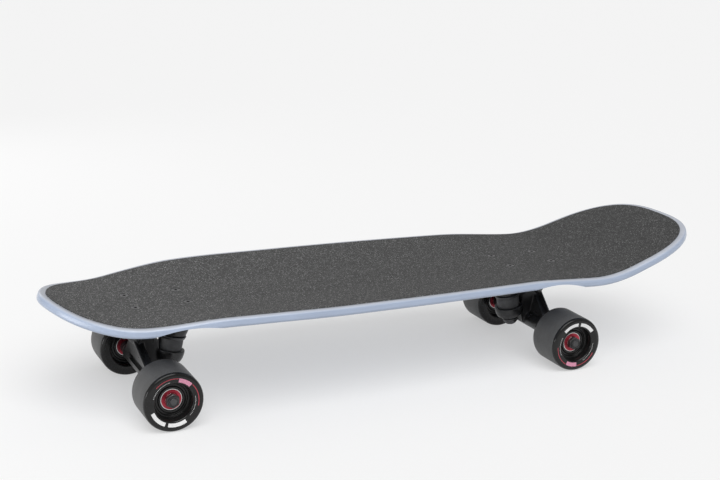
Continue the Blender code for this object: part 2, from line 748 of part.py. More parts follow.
def keel_outline():
    """Side view of the hanger's middle: ring bridge, axle and the pillar under the neck."""
    return [
        (-RING_INBOARD, RING_HEIGHT - RING_THICKNESS / 2 + ROADSIDE_SEAT_DEPTH),
        (-HOUSING_RADIUS, -HOUSING_RADIUS / 2),
        (HOUSING_RADIUS * 0.8, HOUSING_RADIUS * 0.4),
        (7.5 * MM, 18 * MM),
        (PIVOT_OUTBOARD - 8 * MM, PIVOT_HEIGHT - 13 * MM),
        (PIVOT_OUTBOARD - 12 * MM, PIVOT_HEIGHT - 6.5 * MM),
        (-3 * MM, PIVOT_HEIGHT - 10 * MM),
        (-11 * MM, RING_HEIGHT + 11 * MM),
        (-12 * MM, RING_HEIGHT + RING_THICKNESS / 2 - 1.5 * MM),
        (-RING_INBOARD, RING_HEIGHT + RING_THICKNESS / 2 - BOARDSIDE_SEAT_DEPTH),
    ]


def hanger_mesh(kingpin_place, pivot_place):
    """The hanger casting: axle housing, shoulders, neck, pivot and kingpin ring."""
    end = HANGER_HALF_WIDTH
    taper = end - HOUSING_END_LENGTH
    axle_place = turn(math.radians(-90), "X")
    housing = [
        (0, end),
        (HOUSING_END_RADIUS, end),
        (HOUSING_END_RADIUS, taper + 2 * MM),
        (HOUSING_RADIUS, taper - 4 * MM),
        (HOUSING_RADIUS, -taper + 4 * MM),
        (HOUSING_END_RADIUS, -taper - 2 * MM),
        (HOUSING_END_RADIUS, -end),
        (0, -end),
    ]
    hanger = turned("hanger_blank", housing, axle_place, closed=False)

    shoulders = [
        (-WEB_BOTTOM_HALF_WIDTH, 0),
        (WEB_BOTTOM_HALF_WIDTH, 0),
        (WEB_BOTTOM_HALF_WIDTH, HOUSING_RADIUS * 0.7),
        (WEB_TOP_HALF_WIDTH, WEB_HEIGHT),
        (-WEB_TOP_HALF_WIDTH, WEB_HEIGHT),
        (-WEB_BOTTOM_HALF_WIDTH, HOUSING_RADIUS * 0.7),
    ]
    upright = turn(WEB_LEAN, "Y") @ turn(math.radians(90), "Z") @ turn(math.radians(90), "X")
    web = flat_piece("hanger_web", shoulders, WEB_THICKNESS, upright)
    keel = flat_piece("hanger_keel", keel_outline(), KEEL_WIDTH, turn(math.radians(90), "X"))

    shoulder = -PIVOT_DEPTH - NECK_CLEARANCE
    neck = [
        (0, PIVOT_TIP_LENGTH),
        (PIVOT_RADIUS * 0.6, PIVOT_TIP_LENGTH),
        (PIVOT_RADIUS, 0),
        (PIVOT_RADIUS, shoulder),
        (NECK_RADIUS * 0.8, shoulder),
        (NECK_RADIUS, shoulder - 8 * MM),
        (NECK_RADIUS, shoulder - NECK_LENGTH + 10 * MM),
        (0, shoulder - NECK_LENGTH + 10 * MM),
    ]
    neck = turned("hanger_neck", neck, pivot_place, closed=False)

    half = RING_THICKNESS / 2
    bowl = [
        (0, half),
        (RING_TOP_RADIUS, half),
        (RING_TOP_RADIUS, half - 3 * MM),
        (RING_BOTTOM_RADIUS, -half),
        (0, -half),
    ]
    bowl = turned("hanger_ring", bowl, kingpin_place, closed=False)
    combine(hanger, "UNION", [web, keel, neck, bowl])

    boardside = clear_radius(BOARDSIDE_BUSHING_RADIUS, ROUND_SIDES)
    roadside = clear_radius(ROADSIDE_BUSHING_RADIUS, ROUND_SIDES)
    foot = -half - GAP
    seats = [
        (0, half + 16 * MM),
        (boardside, half + 16 * MM),
        (boardside, half - BOARDSIDE_SEAT_DEPTH),
        (RING_BORE_RADIUS, half - BOARDSIDE_SEAT_DEPTH),
        (RING_BORE_RADIUS, -half + ROADSIDE_SEAT_DEPTH),
        (roadside, -half + ROADSIDE_SEAT_DEPTH),
        (roadside, foot),
        (RING_BOTTOM_RADIUS + NUT_ROOM, foot),
        (RING_BOTTOM_RADIUS + NUT_ROOM + NUT_ROOM_FLARE, foot - NUT_ROOM_DEPTH),
        (0, foot - NUT_ROOM_DEPTH),
    ]
    seats = turned("bushing_seats", seats, kingpin_place, closed=False)
    bore = pin(clear_radius(AXLE_RADIUS, ROUND_SIDES), -end - 5 * MM, end + 5 * MM)
    bore = turned("axle_bore", bore, axle_place, closed=False)
    combine(hanger, "DIFFERENCE", [seats, bore])
    bpy.context.view_layer.update()
    mesh = baked_mesh(hanger, "hanger")
    shade(mesh)
    return mesh


def bushing_profile(radius, low, high, wide_above):
    """A barrel that is drawn in at one end, with a bore for the kingpin."""
    bore = clear_radius(KINGPIN_RADIUS, ROUND_SIDES)
    top = radius if wide_above else radius * BUSHING_TAPER
    foot = radius * BUSHING_TAPER if wide_above else radius
    middle = (low + high) / 2
    return [(top, high), (radius, middle), (foot, low), (bore, low), (bore, high)]


def make_truck_fixed(end, truck, kingpin_place, pivot_place, meshes):
    """The pieces of a truck that are bolted to the deck."""
    stack = kingpin_stack()
    bore = clear_radius(KINGPIN_RADIUS, ROUND_SIDES)
    add_object(end + "_baseplate", meshes["baseplate"], truck, "black_casting")
    add_object(end + "_riser_pad", meshes["riser"], truck @ move(z=TRUCK_HEIGHT + GAP), "black_pad")

    kingpin = [
        (0, stack["head_top"]),
        (KINGPIN_HEAD_RADIUS, stack["head_top"]),
        (KINGPIN_HEAD_RADIUS, stack["head"]),
        (KINGPIN_RADIUS, stack["head"]),
        (KINGPIN_RADIUS, stack["tip"]),
        (0, stack["tip"]),
    ]
    place = truck @ kingpin_place
    turned(end + "_kingpin", kingpin, place, "black_steel", closed=False)
    add_object(end + "_kingpin_nut", meshes["kingpin_nut"], place @ move(z=stack["nut"]), "black_steel")

    low = stack["boardside_washer"]
    profile = ring(bore, BOARDSIDE_WASHER_RADIUS, low, low + WASHER_THICKNESS)
    turned(end + "_boardside_washer", profile, place, "black_steel")
    low = stack["roadside_washer"]
    profile = ring(bore, ROADSIDE_WASHER_RADIUS, low, low + WASHER_THICKNESS)
    turned(end + "_roadside_washer", profile, place, "black_steel")

    low = stack["boardside_bushing"]
    profile = bushing_profile(BOARDSIDE_BUSHING_RADIUS, low, low + BOARDSIDE_BUSHING_HEIGHT, True)
    turned(end + "_boardside_bushing", profile, place, "grey_urethane")
    low = stack["roadside_bushing"]
    profile = bushing_profile(ROADSIDE_BUSHING_RADIUS, low, low + ROADSIDE_BUSHING_HEIGHT, True)
    turned(end + "_roadside_bushing", profile, place, "grey_urethane")

    pocket = clear_radius(PIVOT_RADIUS, ROUND_SIDES)
    depth = pivot_cup_depth()
    cup = [
        (0, depth + PIVOT_CUP_FLOOR),
        (PIVOT_CUP_RADIUS, depth + PIVOT_CUP_FLOOR),
        (PIVOT_CUP_RADIUS, 0),
        (pocket, 0),
        (pocket, depth),
        (0, depth),
    ]
    mouth = truck @ pivot_place @ move(z=-PIVOT_DEPTH)
    turned(end + "_pivot_cup", cup, mouth, "grey_urethane", closed=False)


def tyre_profile():
    """Half section of the tyre, from its outer face down the tread to its inner face."""
    half = WHEEL_WIDTH / 2
    tread = flat_radius(WHEEL_DIAMETER / 2, WHEEL_SIDES)
    lip = TYRE_LIP_RADIUS
    outer_side = [
        (TYRE_PRINT_RADIUS, half - TYRE_FACE_DISH),
        (TYRE_FACE_RADIUS, half),
        (tread - lip * 0.3, half - lip * 0.3),
        (tread, half - lip),
    ]
    bore = clear_radius(CORE_RADIUS, WHEEL_SIDES)
    inner_side = [(r, -h) for r, h in reversed(outer_side)]
    return [(bore, CORE_WIDTH / 2), *outer_side, *inner_side, (bore, -CORE_WIDTH / 2)]


def core_profile():
    """Section of the hard core, with a seat for a bearing on each side of its shoulder."""
    middle = WHEEL_WIDTH / 2
    outer_seat = middle - BEARING_RECESS
    inner_seat = outer_seat - 2 * BEARING_WIDTH - BEARING_SPACING
    seat = clear_radius(BEARING_RADIUS, WHEEL_SIDES)
    outer_shoulder = outer_seat - BEARING_WIDTH - GAP
    inner_shoulder = inner_seat + BEARING_WIDTH + GAP
    lip = seat + CORE_RIM_WIDTH
    return [
        (lip, outer_seat + GAP),
        (CORE_RADIUS, CORE_WIDTH / 2 - 2 * MM),
        (CORE_RADIUS, -CORE_WIDTH / 2 + 2 * MM),
        (lip, inner_seat - GAP),
        (seat, inner_seat - GAP),
        (seat, inner_shoulder),
        (CORE_SHOULDER_RADIUS, inner_shoulder),
        (CORE_SHOULDER_RADIUS, outer_shoulder),
        (seat, outer_shoulder),
        (seat, outer_seat + GAP),
    ]


def make_wheel(end, side_name, side, steering, axle_place, meshes):
    """One wheel on its axle: tyre, core and two bearings that spin, and the washers and nut."""
    wheel_name = f"{end}_{side_name}"
    outward = axle_place @ turn(math.radians(-90 * side), "X")
    centre = outward @ move(z=WHEEL_FACE - WHEEL_WIDTH / 2)
    hub = add_axis(wheel_name + "_wheel_axis", centre)
    turned(wheel_name + "_tyre", tyre_profile(), centre, "tread_urethane", hub, WHEEL_SIDES, flat_below=True)
    turned(wheel_name + "_core", core_profile(), centre, "core_plastic", hub, WHEEL_SIDES)

    bore = clear_radius(AXLE_RADIUS, ROUND_SIDES)
    for label, face in (("outer", OUTER_BEARING_FACE), ("inner", INNER_BEARING_FACE + BEARING_WIDTH)):
        profile = ring(bore, BEARING_RADIUS, face - BEARING_WIDTH, face)
        turned(f"{wheel_name}_{label}_bearing", profile, outward, "bearing_steel", hub)

    outer_washer = OUTER_BEARING_FACE + GAP
    inner_washer = INNER_BEARING_FACE - GAP - SPEED_WASHER_THICKNESS
    for label, low in (("outer", outer_washer), ("inner", inner_washer)):
        profile = ring(bore, SPEED_WASHER_RADIUS, low, low + SPEED_WASHER_THICKNESS)
        turned(f"{wheel_name}_{label}_washer", profile, outward, "bright_steel", steering, SMALL_SIDES)
    nut_place = outward @ move(z=outer_washer + SPEED_WASHER_THICKNESS + GAP)
    add_object(wheel_name + "_axle_nut", meshes["axle_nut"], nut_place, "black_steel", steering)


def make_trucks():
    """Both trucks, each with its two wheels."""
    start, end_point, tilt = steering_line()
    kingpin_place = Matrix.Translation(start) @ turn(-KINGPIN_LEAN, "Y")
    pivot_place = Matrix.Translation(end_point) @ turn(tilt, "Y")
    meshes = {
        "baseplate": baseplate_mesh(kingpin_place, pivot_place),
        "riser": riser_mesh(),
        "hanger": hanger_mesh(kingpin_place, pivot_place),
        "kingpin_nut": nut_mesh(
            "kingpin_nut", KINGPIN_NUT_WIDTH, clear_radius(KINGPIN_RADIUS, SMALL_SIDES), KINGPIN_NUT_HEIGHT
        ),
        "axle_nut": nut_mesh("axle_nut", AXLE_NUT_WIDTH, clear_radius(AXLE_RADIUS, SMALL_SIDES), AXLE_NUT_HEIGHT),
    }
    for end, axle_x, heading in (("front", FRONT_AXLE_X, 0), ("rear", REAR_AXLE_X, math.pi)):
        truck = move(axle_x, 0, AXLE_HEIGHT) @ turn(heading, "Z")
        make_truck_fixed(end, truck, kingpin_place, pivot_place, meshes)
        steering = add_axis(end + "_steering_axis", truck @ Matrix.Translation(start) @ turn(tilt, "Y"))
        add_object(end + "_hanger", meshes["hanger"], truck, "black_casting", steering)
        axle_place = move(axle_x, 0, AXLE_HEIGHT)
        axle = pin(AXLE_RADIUS, -AXLE_HALF_LENGTH, AXLE_HALF_LENGTH, AXLE_CHAMFER)
        lying = axle_place @ turn(math.radians(-90), "X")
        turned(end + "_axle", axle, lying, "black_steel", steering, closed=False)
        for side_name, side in (("left", 1), ("right", -1)):
            make_wheel(end, side_name, side, steering, axle_place, meshes)


make_deck()
make_deck_bolts()
make_trucks()
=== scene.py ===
# %% [markdown]
# # A cruiser skateboard in its studio
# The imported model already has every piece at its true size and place, and knows how the trucks
# steer and how the wheels spin. This script gives each piece its fine shape and its finish. The
# cells go in the order in which the board would be built on a bench: deck, grip sheet, bolts,
# trucks, wheels, and the studio last.

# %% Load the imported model
import math

import bmesh
import bpy
from mathutils import Matrix, Vector
from mathutils.bvhtree import BVHTree
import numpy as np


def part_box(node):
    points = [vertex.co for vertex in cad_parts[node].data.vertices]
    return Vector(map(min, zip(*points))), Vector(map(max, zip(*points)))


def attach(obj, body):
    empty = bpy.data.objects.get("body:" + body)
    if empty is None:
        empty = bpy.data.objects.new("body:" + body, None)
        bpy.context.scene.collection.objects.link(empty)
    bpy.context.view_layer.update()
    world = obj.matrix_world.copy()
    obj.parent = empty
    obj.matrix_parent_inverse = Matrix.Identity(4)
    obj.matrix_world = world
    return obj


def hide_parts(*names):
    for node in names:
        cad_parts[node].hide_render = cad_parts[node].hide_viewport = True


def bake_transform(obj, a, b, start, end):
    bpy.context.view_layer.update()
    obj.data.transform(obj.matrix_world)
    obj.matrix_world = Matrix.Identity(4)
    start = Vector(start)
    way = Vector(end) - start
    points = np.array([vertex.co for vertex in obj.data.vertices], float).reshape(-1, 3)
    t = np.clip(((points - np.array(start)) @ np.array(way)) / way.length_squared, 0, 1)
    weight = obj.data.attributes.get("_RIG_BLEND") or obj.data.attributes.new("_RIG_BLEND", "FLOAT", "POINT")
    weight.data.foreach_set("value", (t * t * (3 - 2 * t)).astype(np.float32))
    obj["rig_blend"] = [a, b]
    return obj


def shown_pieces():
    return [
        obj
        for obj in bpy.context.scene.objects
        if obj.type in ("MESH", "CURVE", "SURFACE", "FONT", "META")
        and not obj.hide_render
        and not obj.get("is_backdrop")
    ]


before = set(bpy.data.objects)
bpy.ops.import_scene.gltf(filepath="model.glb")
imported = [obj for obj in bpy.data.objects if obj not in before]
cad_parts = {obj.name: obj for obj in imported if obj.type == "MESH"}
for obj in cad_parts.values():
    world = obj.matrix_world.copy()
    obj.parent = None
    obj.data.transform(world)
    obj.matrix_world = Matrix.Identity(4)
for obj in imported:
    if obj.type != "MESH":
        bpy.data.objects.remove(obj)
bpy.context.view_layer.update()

# %% [markdown]
# ## Sizes
# The script works in metres, but a board is thought of in millimetres, so each size is written
# as millimetres times MM. The places of the axles are read from the model, so that they can't
# drift apart from it. The outline is a list of shares, the same one that the solid deck uses.

# %% Sizes of the board
MM = 0.001


def middle_of(name):
    """Middle of a node, along the board and in height."""
    low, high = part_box(name)
    return (low[0] + high[0]) / 2, (low[2] + high[2]) / 2


FRONT_AXLE_X, AXLE_HEIGHT = middle_of("front_axle")
REAR_AXLE_X = middle_of("rear_axle")[0]
WHEELBASE = FRONT_AXLE_X - REAR_AXLE_X
ENDS = {"front": (FRONT_AXLE_X, 1), "rear": (REAR_AXLE_X, -1)}
print("axles at x =", round(FRONT_AXLE_X, 4), round(REAR_AXLE_X, 4), "height", round(AXLE_HEIGHT, 4))

NOSE_OVERHANG = 102.5 * MM
TAIL_OVERHANG = 180.1 * MM
HALF_WIDTH = 112.7 * MM
DECK_THICKNESS = 9 * MM
DECK_BOTTOM = 92.3 * MM
DECK_TOP = DECK_BOTTOM + DECK_THICKNESS
GRIP_TOP = DECK_TOP + 1 * MM
GRIP_INSET = 6.7 * MM
RIM_RADIUS = 3 * MM

HEAD_TOP = GRIP_TOP - 0.3 * MM
HOLE_RADIUS = 2.9 * MM
BOLTS_LONG, BOLTS_WIDE = 54 * MM, 41.3 * MM
PLATE_LENGTH, PLATE_WIDTH, PLATE_CORNER = 82 * MM, 57 * MM, 9 * MM
PLATE_SHIFT = 13.3 * MM
RISER_BOTTOM = 87.3 * MM

NOSE_OUTLINE = [(1, 0), (0.964, 0.184), (0.86, 0.397), (0.704, 0.574), (0.457, 0.736), (0.132, 0.848)]
MIDDLE_OUTLINE = [
    (0.94, 0.917), (0.83, 0.97), (0.665, 0.998), (0.434, 0.991), (0.214, 0.955), (0.008, 0.9035),
]
TAIL_OUTLINE = [
    (0.407, 0.866), (0.664, 0.8195), (0.813, 0.725), (0.912, 0.587), (0.967, 0.424), (0.993, 0.247),
    (1, 0),
]


# %% [markdown]
# ## Small tools
# Three ways of making a mesh come back all through the script. A turned shape is a profile run
# round an axis, as on a lathe. A cast shape is several overlapping solids melted into one by a
# voxel remesh and then smoothed, which leaves the soft fillets of a casting. A cut takes a
# finished tool shape away from a piece, as a drill or a mill does.

# %% Put a finished mesh on its body
def object_of(name, data):
    """A new object in the scene, from a bmesh or from data such as a lamp's."""
    if isinstance(data, bmesh.types.BMesh):
        shape, data = data, bpy.data.meshes.new(name)
        shape.to_mesh(data)
        shape.free()
    thing = bpy.data.objects.new(name, data)
    bpy.context.scene.collection.objects.link(thing)
    return thing


def add_piece(name, shape, materials, body, replaces=(), sharp_angle=32):
    """Turn a bmesh into a shown piece that rides on a body of the model, or is blended later."""
    piece = object_of(name, shape)
    for material in materials if isinstance(materials, (list, tuple)) else [materials]:
        piece.data.materials.append(material)
    piece.data.shade_smooth()
    piece.data.set_sharp_from_angle(angle=math.radians(sharp_angle))
    if body:
        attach(piece, body)
    if replaces:
        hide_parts(*replaces)
    return piece


def triangles(piece):
    return sum(len(face.vertices) - 2 for face in piece.data.polygons)


# %% Sew rings of points, and turn or extrude an outline
def sew(shape, rings, closed=False, capped=False):
    """Join rings of points with faces. A ring of one point is a pole."""
    if capped:
        shape.faces.new(rings[0])
        shape.faces.new(rings[-1])
    pairs = list(zip(rings, rings[1:]))
    if closed:
        pairs.append((rings[-1], rings[0]))
    for ring, after in pairs:
        sides = max(len(ring), len(after))
        for i in range(sides):
            j = (i + 1) % sides
            corners = [ring[i % len(ring)], ring[j % len(ring)]]
            corners += [after[j % len(after)], after[i % len(after)]]
            corners = list(dict.fromkeys(corners))
            if len(corners) > 2:
                shape.faces.new(corners)
    bmesh.ops.recalc_face_normals(shape, faces=shape.faces)
    return shape


def turned(profile, sides, place=Matrix.Identity(4), closed=False):
    """Run (radius, height) points round Z. A radius of 0 makes a pole."""
    shape = bmesh.new()
    angles = [2 * math.pi * i / sides for i in range(sides)]
    rings = []
    for radius, height in profile:
        ring = [Vector((radius * math.cos(a), radius * math.sin(a), height)) for a in angles]
        rings.append([shape.verts.new(place @ point) for point in (ring if radius else ring[:1])])
    return sew(shape, rings, closed)


def extruded(outline, thickness, place):
    """A closed slab with a flat outline, the same to both sides of its plane."""
    shape = bmesh.new()
    heights = (-thickness / 2, thickness / 2)
    rings = [[shape.verts.new(place @ Vector((x, y, z))) for x, y in outline] for z in heights]
    return sew(shape, rings, capped=True)


def softened(corners, steps=4):
    """Round the corners of a profile. A corner is (radius, height) or (radius, height, rounding)."""
    points = [Vector(corner[:2]) for corner in corners]
    most = 0.49
    profile = []
    for i, corner in enumerate(corners):
        rounding = corner[2] if len(corner) > 2 else 0
        if not rounding or i in (0, len(corners) - 1):
            profile.append(tuple(points[i]))
            continue
        before = points[i - 1] - points[i]
        after = points[i + 1] - points[i]
        start = points[i] + before.normalized() * min(rounding, before.length * most)
        end = points[i] + after.normalized() * min(rounding, after.length * most)
        for step in range(steps + 1):
            share = step / steps
            profile.append(tuple(start.lerp(points[i], share).lerp(points[i].lerp(end, share), share)))
    return profile


def in_mm(corners):
    """A profile written in millimetres, in metres."""
    return [tuple(value * MM for value in corner) for corner in corners]


def smooth_profile(corners, steps=4):
    """A softened profile from corners written in millimetres."""
    return softened(in_mm(corners), steps)


def two_sided(half):
    """A profile that is the same above and below height 0, from its upper half."""
    return half + [(r, -h) for r, h in reversed(half)]


def rounded_rectangle(length, width, radius, steps=8):
    """Outline of a rectangle with round corners."""
    points = []
    for corner in range(4):
        sign_x = 1 if corner in (0, 3) else -1
        sign_y = 1 if corner in (0, 1) else -1
        for step in range(steps + 1):
            angle = math.radians(90) * (corner + step / steps)
            x = sign_x * (length / 2 - radius) + radius * math.cos(angle)
            y = sign_y * (width / 2 - radius) + radius * math.sin(angle)
            points.append((x, y))
    return points


def move(x=0.0, y=0.0, z=0.0):
    return Matrix.Translation((x, y, z))


def turn(degrees, axis):
    return Matrix.Rotation(math.radians(degrees), 4, axis)


# %% Melt solids into one casting, and cut it
def join_shapes(shapes):
    """Put several bmeshes into one."""
    joined = bmesh.new()
    for shape in shapes:
        mesh = bpy.data.meshes.new("joining")
        shape.to_mesh(mesh)
        shape.free()
        joined.from_mesh(mesh)
        bpy.data.meshes.remove(mesh)
    return joined


def worked_out(thing):
    """The shape that an object's modifiers give it. The object is removed."""
    bpy.context.view_layer.update()
    graph = bpy.context.evaluated_depsgraph_get()
    mesh = bpy.data.meshes.new_from_object(thing.evaluated_get(graph))
    shape = bmesh.new()
    shape.from_mesh(mesh)
    bpy.data.meshes.remove(mesh)
    bpy.data.objects.remove(thing, do_unlink=True)
    return shape


def cast(shapes, voxel, passes):
    """Melt overlapping closed shapes into one and smooth the joins between them."""
    thing = object_of("casting", join_shapes(shapes))
    remesh = thing.modifiers.new("melt", "REMESH")
    remesh.mode = "VOXEL"
    remesh.voxel_size = voxel
    smooth = thing.modifiers.new("fillets", "SMOOTH")
    smooth.factor = 0.5
    smooth.iterations = passes
    return worked_out(thing)


def straighten_edges(shape):
    """Take out points that only two edges share, where those edges run on nearly straight."""
    nearly_straight = 0.1
    spare = []
    for point in shape.verts:
        if len(point.link_edges) == 2:
            one, other = [edge.other_vert(point).co - point.co for edge in point.link_edges]
            if one.angle(-other) < nearly_straight:
                spare.append(point)
    bmesh.ops.dissolve_verts(shape, verts=spare)


def cut(shape, tools, operation="DIFFERENCE"):
    """Take closed tool shapes away from a shape, or add them to it."""
    thing = object_of("blank", shape)
    helpers = []
    for number, tool in enumerate(tools):
        helper = object_of(f"tool_{number}", tool)
        boolean = thing.modifiers.new(f"cut_{number}", "BOOLEAN")
        boolean.operation = operation
        boolean.solver = "EXACT"
        boolean.object = helper
        helpers.append(helper)
    result = worked_out(thing)
    for helper in helpers:
        bpy.data.objects.remove(helper, do_unlink=True)
    bmesh.ops.dissolve_degenerate(result, dist=0.001 * MM, edges=result.edges)
    straighten_edges(result)
    return result


# %% [markdown]
# ## Nodes
# Finishes and repeated shapes are both written as node trees. One method adds a node, fills its
# inputs, where a socket is linked and anything else is a constant, and gives one of its outputs.
# A recipe is a Geometry Nodes tree with named inputs, so that another size is only a number.

# %% Node trees and recipes
class Nodes:
    """A node tree, with short ways to add nodes to it."""

    def __init__(self, tree):
        self.tree = tree

    def plug(self, socket, value):
        """Link an input to another node's output, or give it a constant."""
        if isinstance(value, bpy.types.NodeSocket):
            self.tree.links.new(value, socket)
        else:
            socket.default_value = (*value, 1) if socket.type == "RGBA" else value

    def add(self, kind, inputs=None, output=0, **settings):
        """Add a node and give one of its outputs, or all of them if output is None."""
        made = self.tree.nodes.new(kind)
        for key, value in settings.items():
            setattr(made, key, value)
        for name, value in (inputs or {}).items():
            self.plug(made.inputs[name], value)
        return made.outputs if output is None else made.outputs[output]

    def do(self, operation, *values):
        """Arithmetic: do("ADD", a, b) gives the socket with the sum."""
        return self.add("ShaderNodeMath", dict(enumerate(values)), operation=operation)


class Recipe(Nodes):
    """A Geometry Nodes tree. Its inputs and its result are names with kinds of socket."""

    def __init__(self, name, inputs, result):
        super().__init__(bpy.data.node_groups.new(name, "GeometryNodeTree"))
        for in_out, sockets in (("INPUT", inputs), ("OUTPUT", result)):
            for label, kind in sockets.items():
                self.tree.interface.new_socket(label, in_out=in_out, socket_type=f"NodeSocket{kind}")
        self.size = self.tree.nodes.new("NodeGroupInput").outputs
        self.end = self.tree.nodes.new("NodeGroupOutput").inputs[0]

    def painted(self, geometry):
        """Close the recipe: make its copies real, paint them and hand them out."""
        real = self.add("GeometryNodeRealizeInstances", {0: geometry})
        inputs = {"Geometry": real, "Material": self.size["Finish"]}
        self.plug(self.end, self.add("GeometryNodeSetMaterial", inputs))
        return self.tree


def shaped_by_nodes(tree, values, shape=None):
    """Run a recipe's tree on a shape, or on nothing, and return what it makes."""
    carrier = object_of("carrier", shape or bmesh.new())
    modifier = carrier.modifiers.new("nodes", "NODES")
    modifier.node_group = tree
    sockets = {s.name: s.identifier for s in tree.interface.items_tree if s.in_out == "INPUT"}
    for name, value in values.items():
        modifier[sockets[name]] = value
    return worked_out(carrier)


# %% [markdown]
# ## Finishes
# Every finish starts from Blender's Principled shader. Noise and Voronoi textures on the
# piece's own coordinates vary its colour and roughness and feed a Bump node, at the grain size
# of the real surface. Numbers that don't vary go on the shader's own sockets.

# %% Building blocks of a finish
def shade(colour, share):
    return tuple(min(1.0, c * share) for c in colour)


class Finish(Nodes):
    """A Principled material, with short ways to vary it."""

    def __init__(
        self, name, colour, roughness, metallic=0.0, specular=0.5, coat=0.0, coat_roughness=0.1,
    ):
        self.material = bpy.data.materials.new(name)
        self.material.use_nodes = True
        super().__init__(self.material.node_tree)
        self.shader = self.tree.nodes["Principled BSDF"]
        for label, value in (
            ("Base Color", colour), ("Metallic", metallic), ("Roughness", roughness),
            ("Coat Weight", coat), ("Coat Roughness", coat_roughness), ("Specular IOR Level", specular),
        ):
            self.set(label, value)

    def set(self, label, value):
        self.plug(self.shader.inputs[label], value)

    def place(self, stretch=(1, 1, 1)):
        """The piece's own coordinates, stretched along its axes."""
        here = self.add("ShaderNodeTexCoord", output="Object")
        return self.add("ShaderNodeMapping", {"Vector": here, "Scale": stretch})

    def noise(self, place, scale, detail, roughness=0.6):
        inputs = {"Vector": place, "Scale": scale, "Detail": detail, "Roughness": roughness}
        return self.add("ShaderNodeTexNoise", inputs)

    def ramp(self, value, stops):
        """Colours or greys along a value. A stop is (position, grey) or (position, (r, g, b))."""
        made = self.tree.nodes.new("ShaderNodeValToRGB")
        self.plug(made.inputs["Fac"], value)
        elements = made.color_ramp.elements
        while len(elements) < len(stops):
            elements.new(0.5)
        for element, (position, colour) in zip(elements, stops):
            element.position = position
            element.color = (*colour, 1) if isinstance(colour, tuple) else (colour, colour, colour, 1)
        return made.outputs["Color"]

    def mottled(self, place, scale, detail, low, high, spread=0.2):
        """Noise that goes from one grey or colour to another."""
        return self.ramp(self.noise(place, scale, detail), [(0.5 - spread, low), (0.5 + spread, high)])

    def along_axis(self, place, axis, start, end, low=0.0, high=1.0):
        """A value that goes from low to high between two places on an axis."""
        value = self.add("ShaderNodeSeparateXYZ", {0: place}, output=axis)
        inputs = {"Value": value, "From Min": start, "From Max": end, "To Min": low, "To Max": high}
        return self.add("ShaderNodeMapRange", inputs)

    def mixed(self, share, first, second, kind="MIX"):
        """Mix two colours. On this node, inputs 6 and 7 and output 2 are the ones for colours."""
        inputs = {0: share, 6: first, 7: second}
        return self.add("ShaderNodeMix", inputs, output=2, data_type="RGBA", blend_type=kind)

    def times(self, first, second):
        return self.mixed(1.0, first, second, "MULTIPLY")

    def bump(self, height, distance, strength):
        inputs = {"Height": height, "Distance": distance, "Strength": strength}
        self.set("Normal", self.add("ShaderNodeBump", inputs))


# %% [markdown]
# Grip sheet is paper covered in grains of silicon carbide. Seen from a step away it is a dark
# grey with a fine salt of paler grains. One Voronoi cell, two thirds of a millimetre wide,
# stands for a few grains: its random colour sets how pale they are, and its distance field the
# bump. The sheet is a little paler toward the nose, as in the photo, with a slow ramp along the
# board. That ramp is painted light: the fall of light and sheen from nose to tail, painted in.

# %% Grit, on the grip sheet
def grit_finish():
    grit = Finish("grip_grit", (0.09, 0.09, 0.09), 0.75, specular=0.7)
    here = grit.place()
    grains = grit.add("ShaderNodeTexVoronoi", {"Vector": here, "Scale": 1500}, output=None)
    chance = grit.add("ShaderNodeSeparateColor", {"Color": grains["Color"]}, output="Red")
    tone = grit.ramp(chance, [(0.0, 0.036), (0.5, 0.06), (0.84, 0.092), (0.92, 0.21), (1.0, 0.5)])
    tone = grit.times(tone, grit.mottled(here, 260, 3, 0.66, 0.92))
    # Painted light: the ramp along the board paints the sheet paler toward the nose.
    grit.set("Base Color", grit.times(tone, grit.along_axis(here, "X", -0.33, 0.3, 0.66, 1.11)))
    grit.bump(grains["Distance"], 0.25 * MM, 0.6)
    return grit.material


GRIT = grit_finish()


# %% [markdown]
# The deck's rim and underside carry a light blue lacquer. Under it the maple's grain runs from
# nose to tail and shows as a very faint streak. The top and its rounded edge get a paler, greyer
# tone, a painted sheen for the reflection of the bright room. The blank stores how much a point
# belongs to the top, and the finish reads that number. A clear coat gives the long, soft highlight
# on the rounded edge.

# %% Blue lacquer, on the deck
def lacquer_finish():
    # The second colour is a painted sheen: a paler, greyer tone for the reflection on the top and the
    # rounded edge.
    lacquer_blue, painted_sheen = (0.396, 0.47, 0.612), (0.52, 0.55, 0.62)
    lacquer = Finish("blue_lacquer", lacquer_blue, 0.42, coat=0.8, coat_roughness=0.22)
    along = lacquer.place(stretch=(0.35, 9, 9))
    streaks = lacquer.ramp(lacquer.noise(along, 60, 6, roughness=0.65), [(0.3, 0.93), (0.7, 1.05)])
    cloud = lacquer.mottled(lacquer.place(), 22, 2, 0.97, 1.03)
    # Where the top band's share is high, the painted sheen is mixed over the blue.
    sheen_share = lacquer.add("ShaderNodeAttribute", output="Fac", attribute_name="sheen_share")
    colour = lacquer.mixed(sheen_share, lacquer_blue, painted_sheen)
    lacquer.set("Base Color", lacquer.times(colour, lacquer.times(streaks, cloud)))
    lacquer.bump(lacquer.noise(along, 160, 5), 0.03 * MM, 0.5)
    return lacquer.material


LACQUER = lacquer_finish()


# %% [markdown]
# The trucks are cast in aluminium and powder coated black. Powder coat flows into an even skin
# with a fine orange peel, so it shines softly and its highlights have ragged edges. Rubber,
# urethane and blackened steel have the same two traits in other measures.

# %% Black coat, and the other dark finishes
def coated_finish(name, colour, roughness, peel, grain_scale, metallic=0.0, specular=0.5):
    """A dark finish with an orange peel and slightly uneven gloss."""
    coat = Finish(name, colour, roughness, metallic, specular)
    here = coat.place()
    coat.set("Roughness", coat.mottled(here, 90, 3, roughness - 0.06, roughness + 0.08))
    coat.set("Base Color", coat.mottled(here, 140, 4, shade(colour, 0.75), shade(colour, 1.25)))
    coat.bump(coat.noise(here, grain_scale, 2), peel, 0.5)
    return coat.material


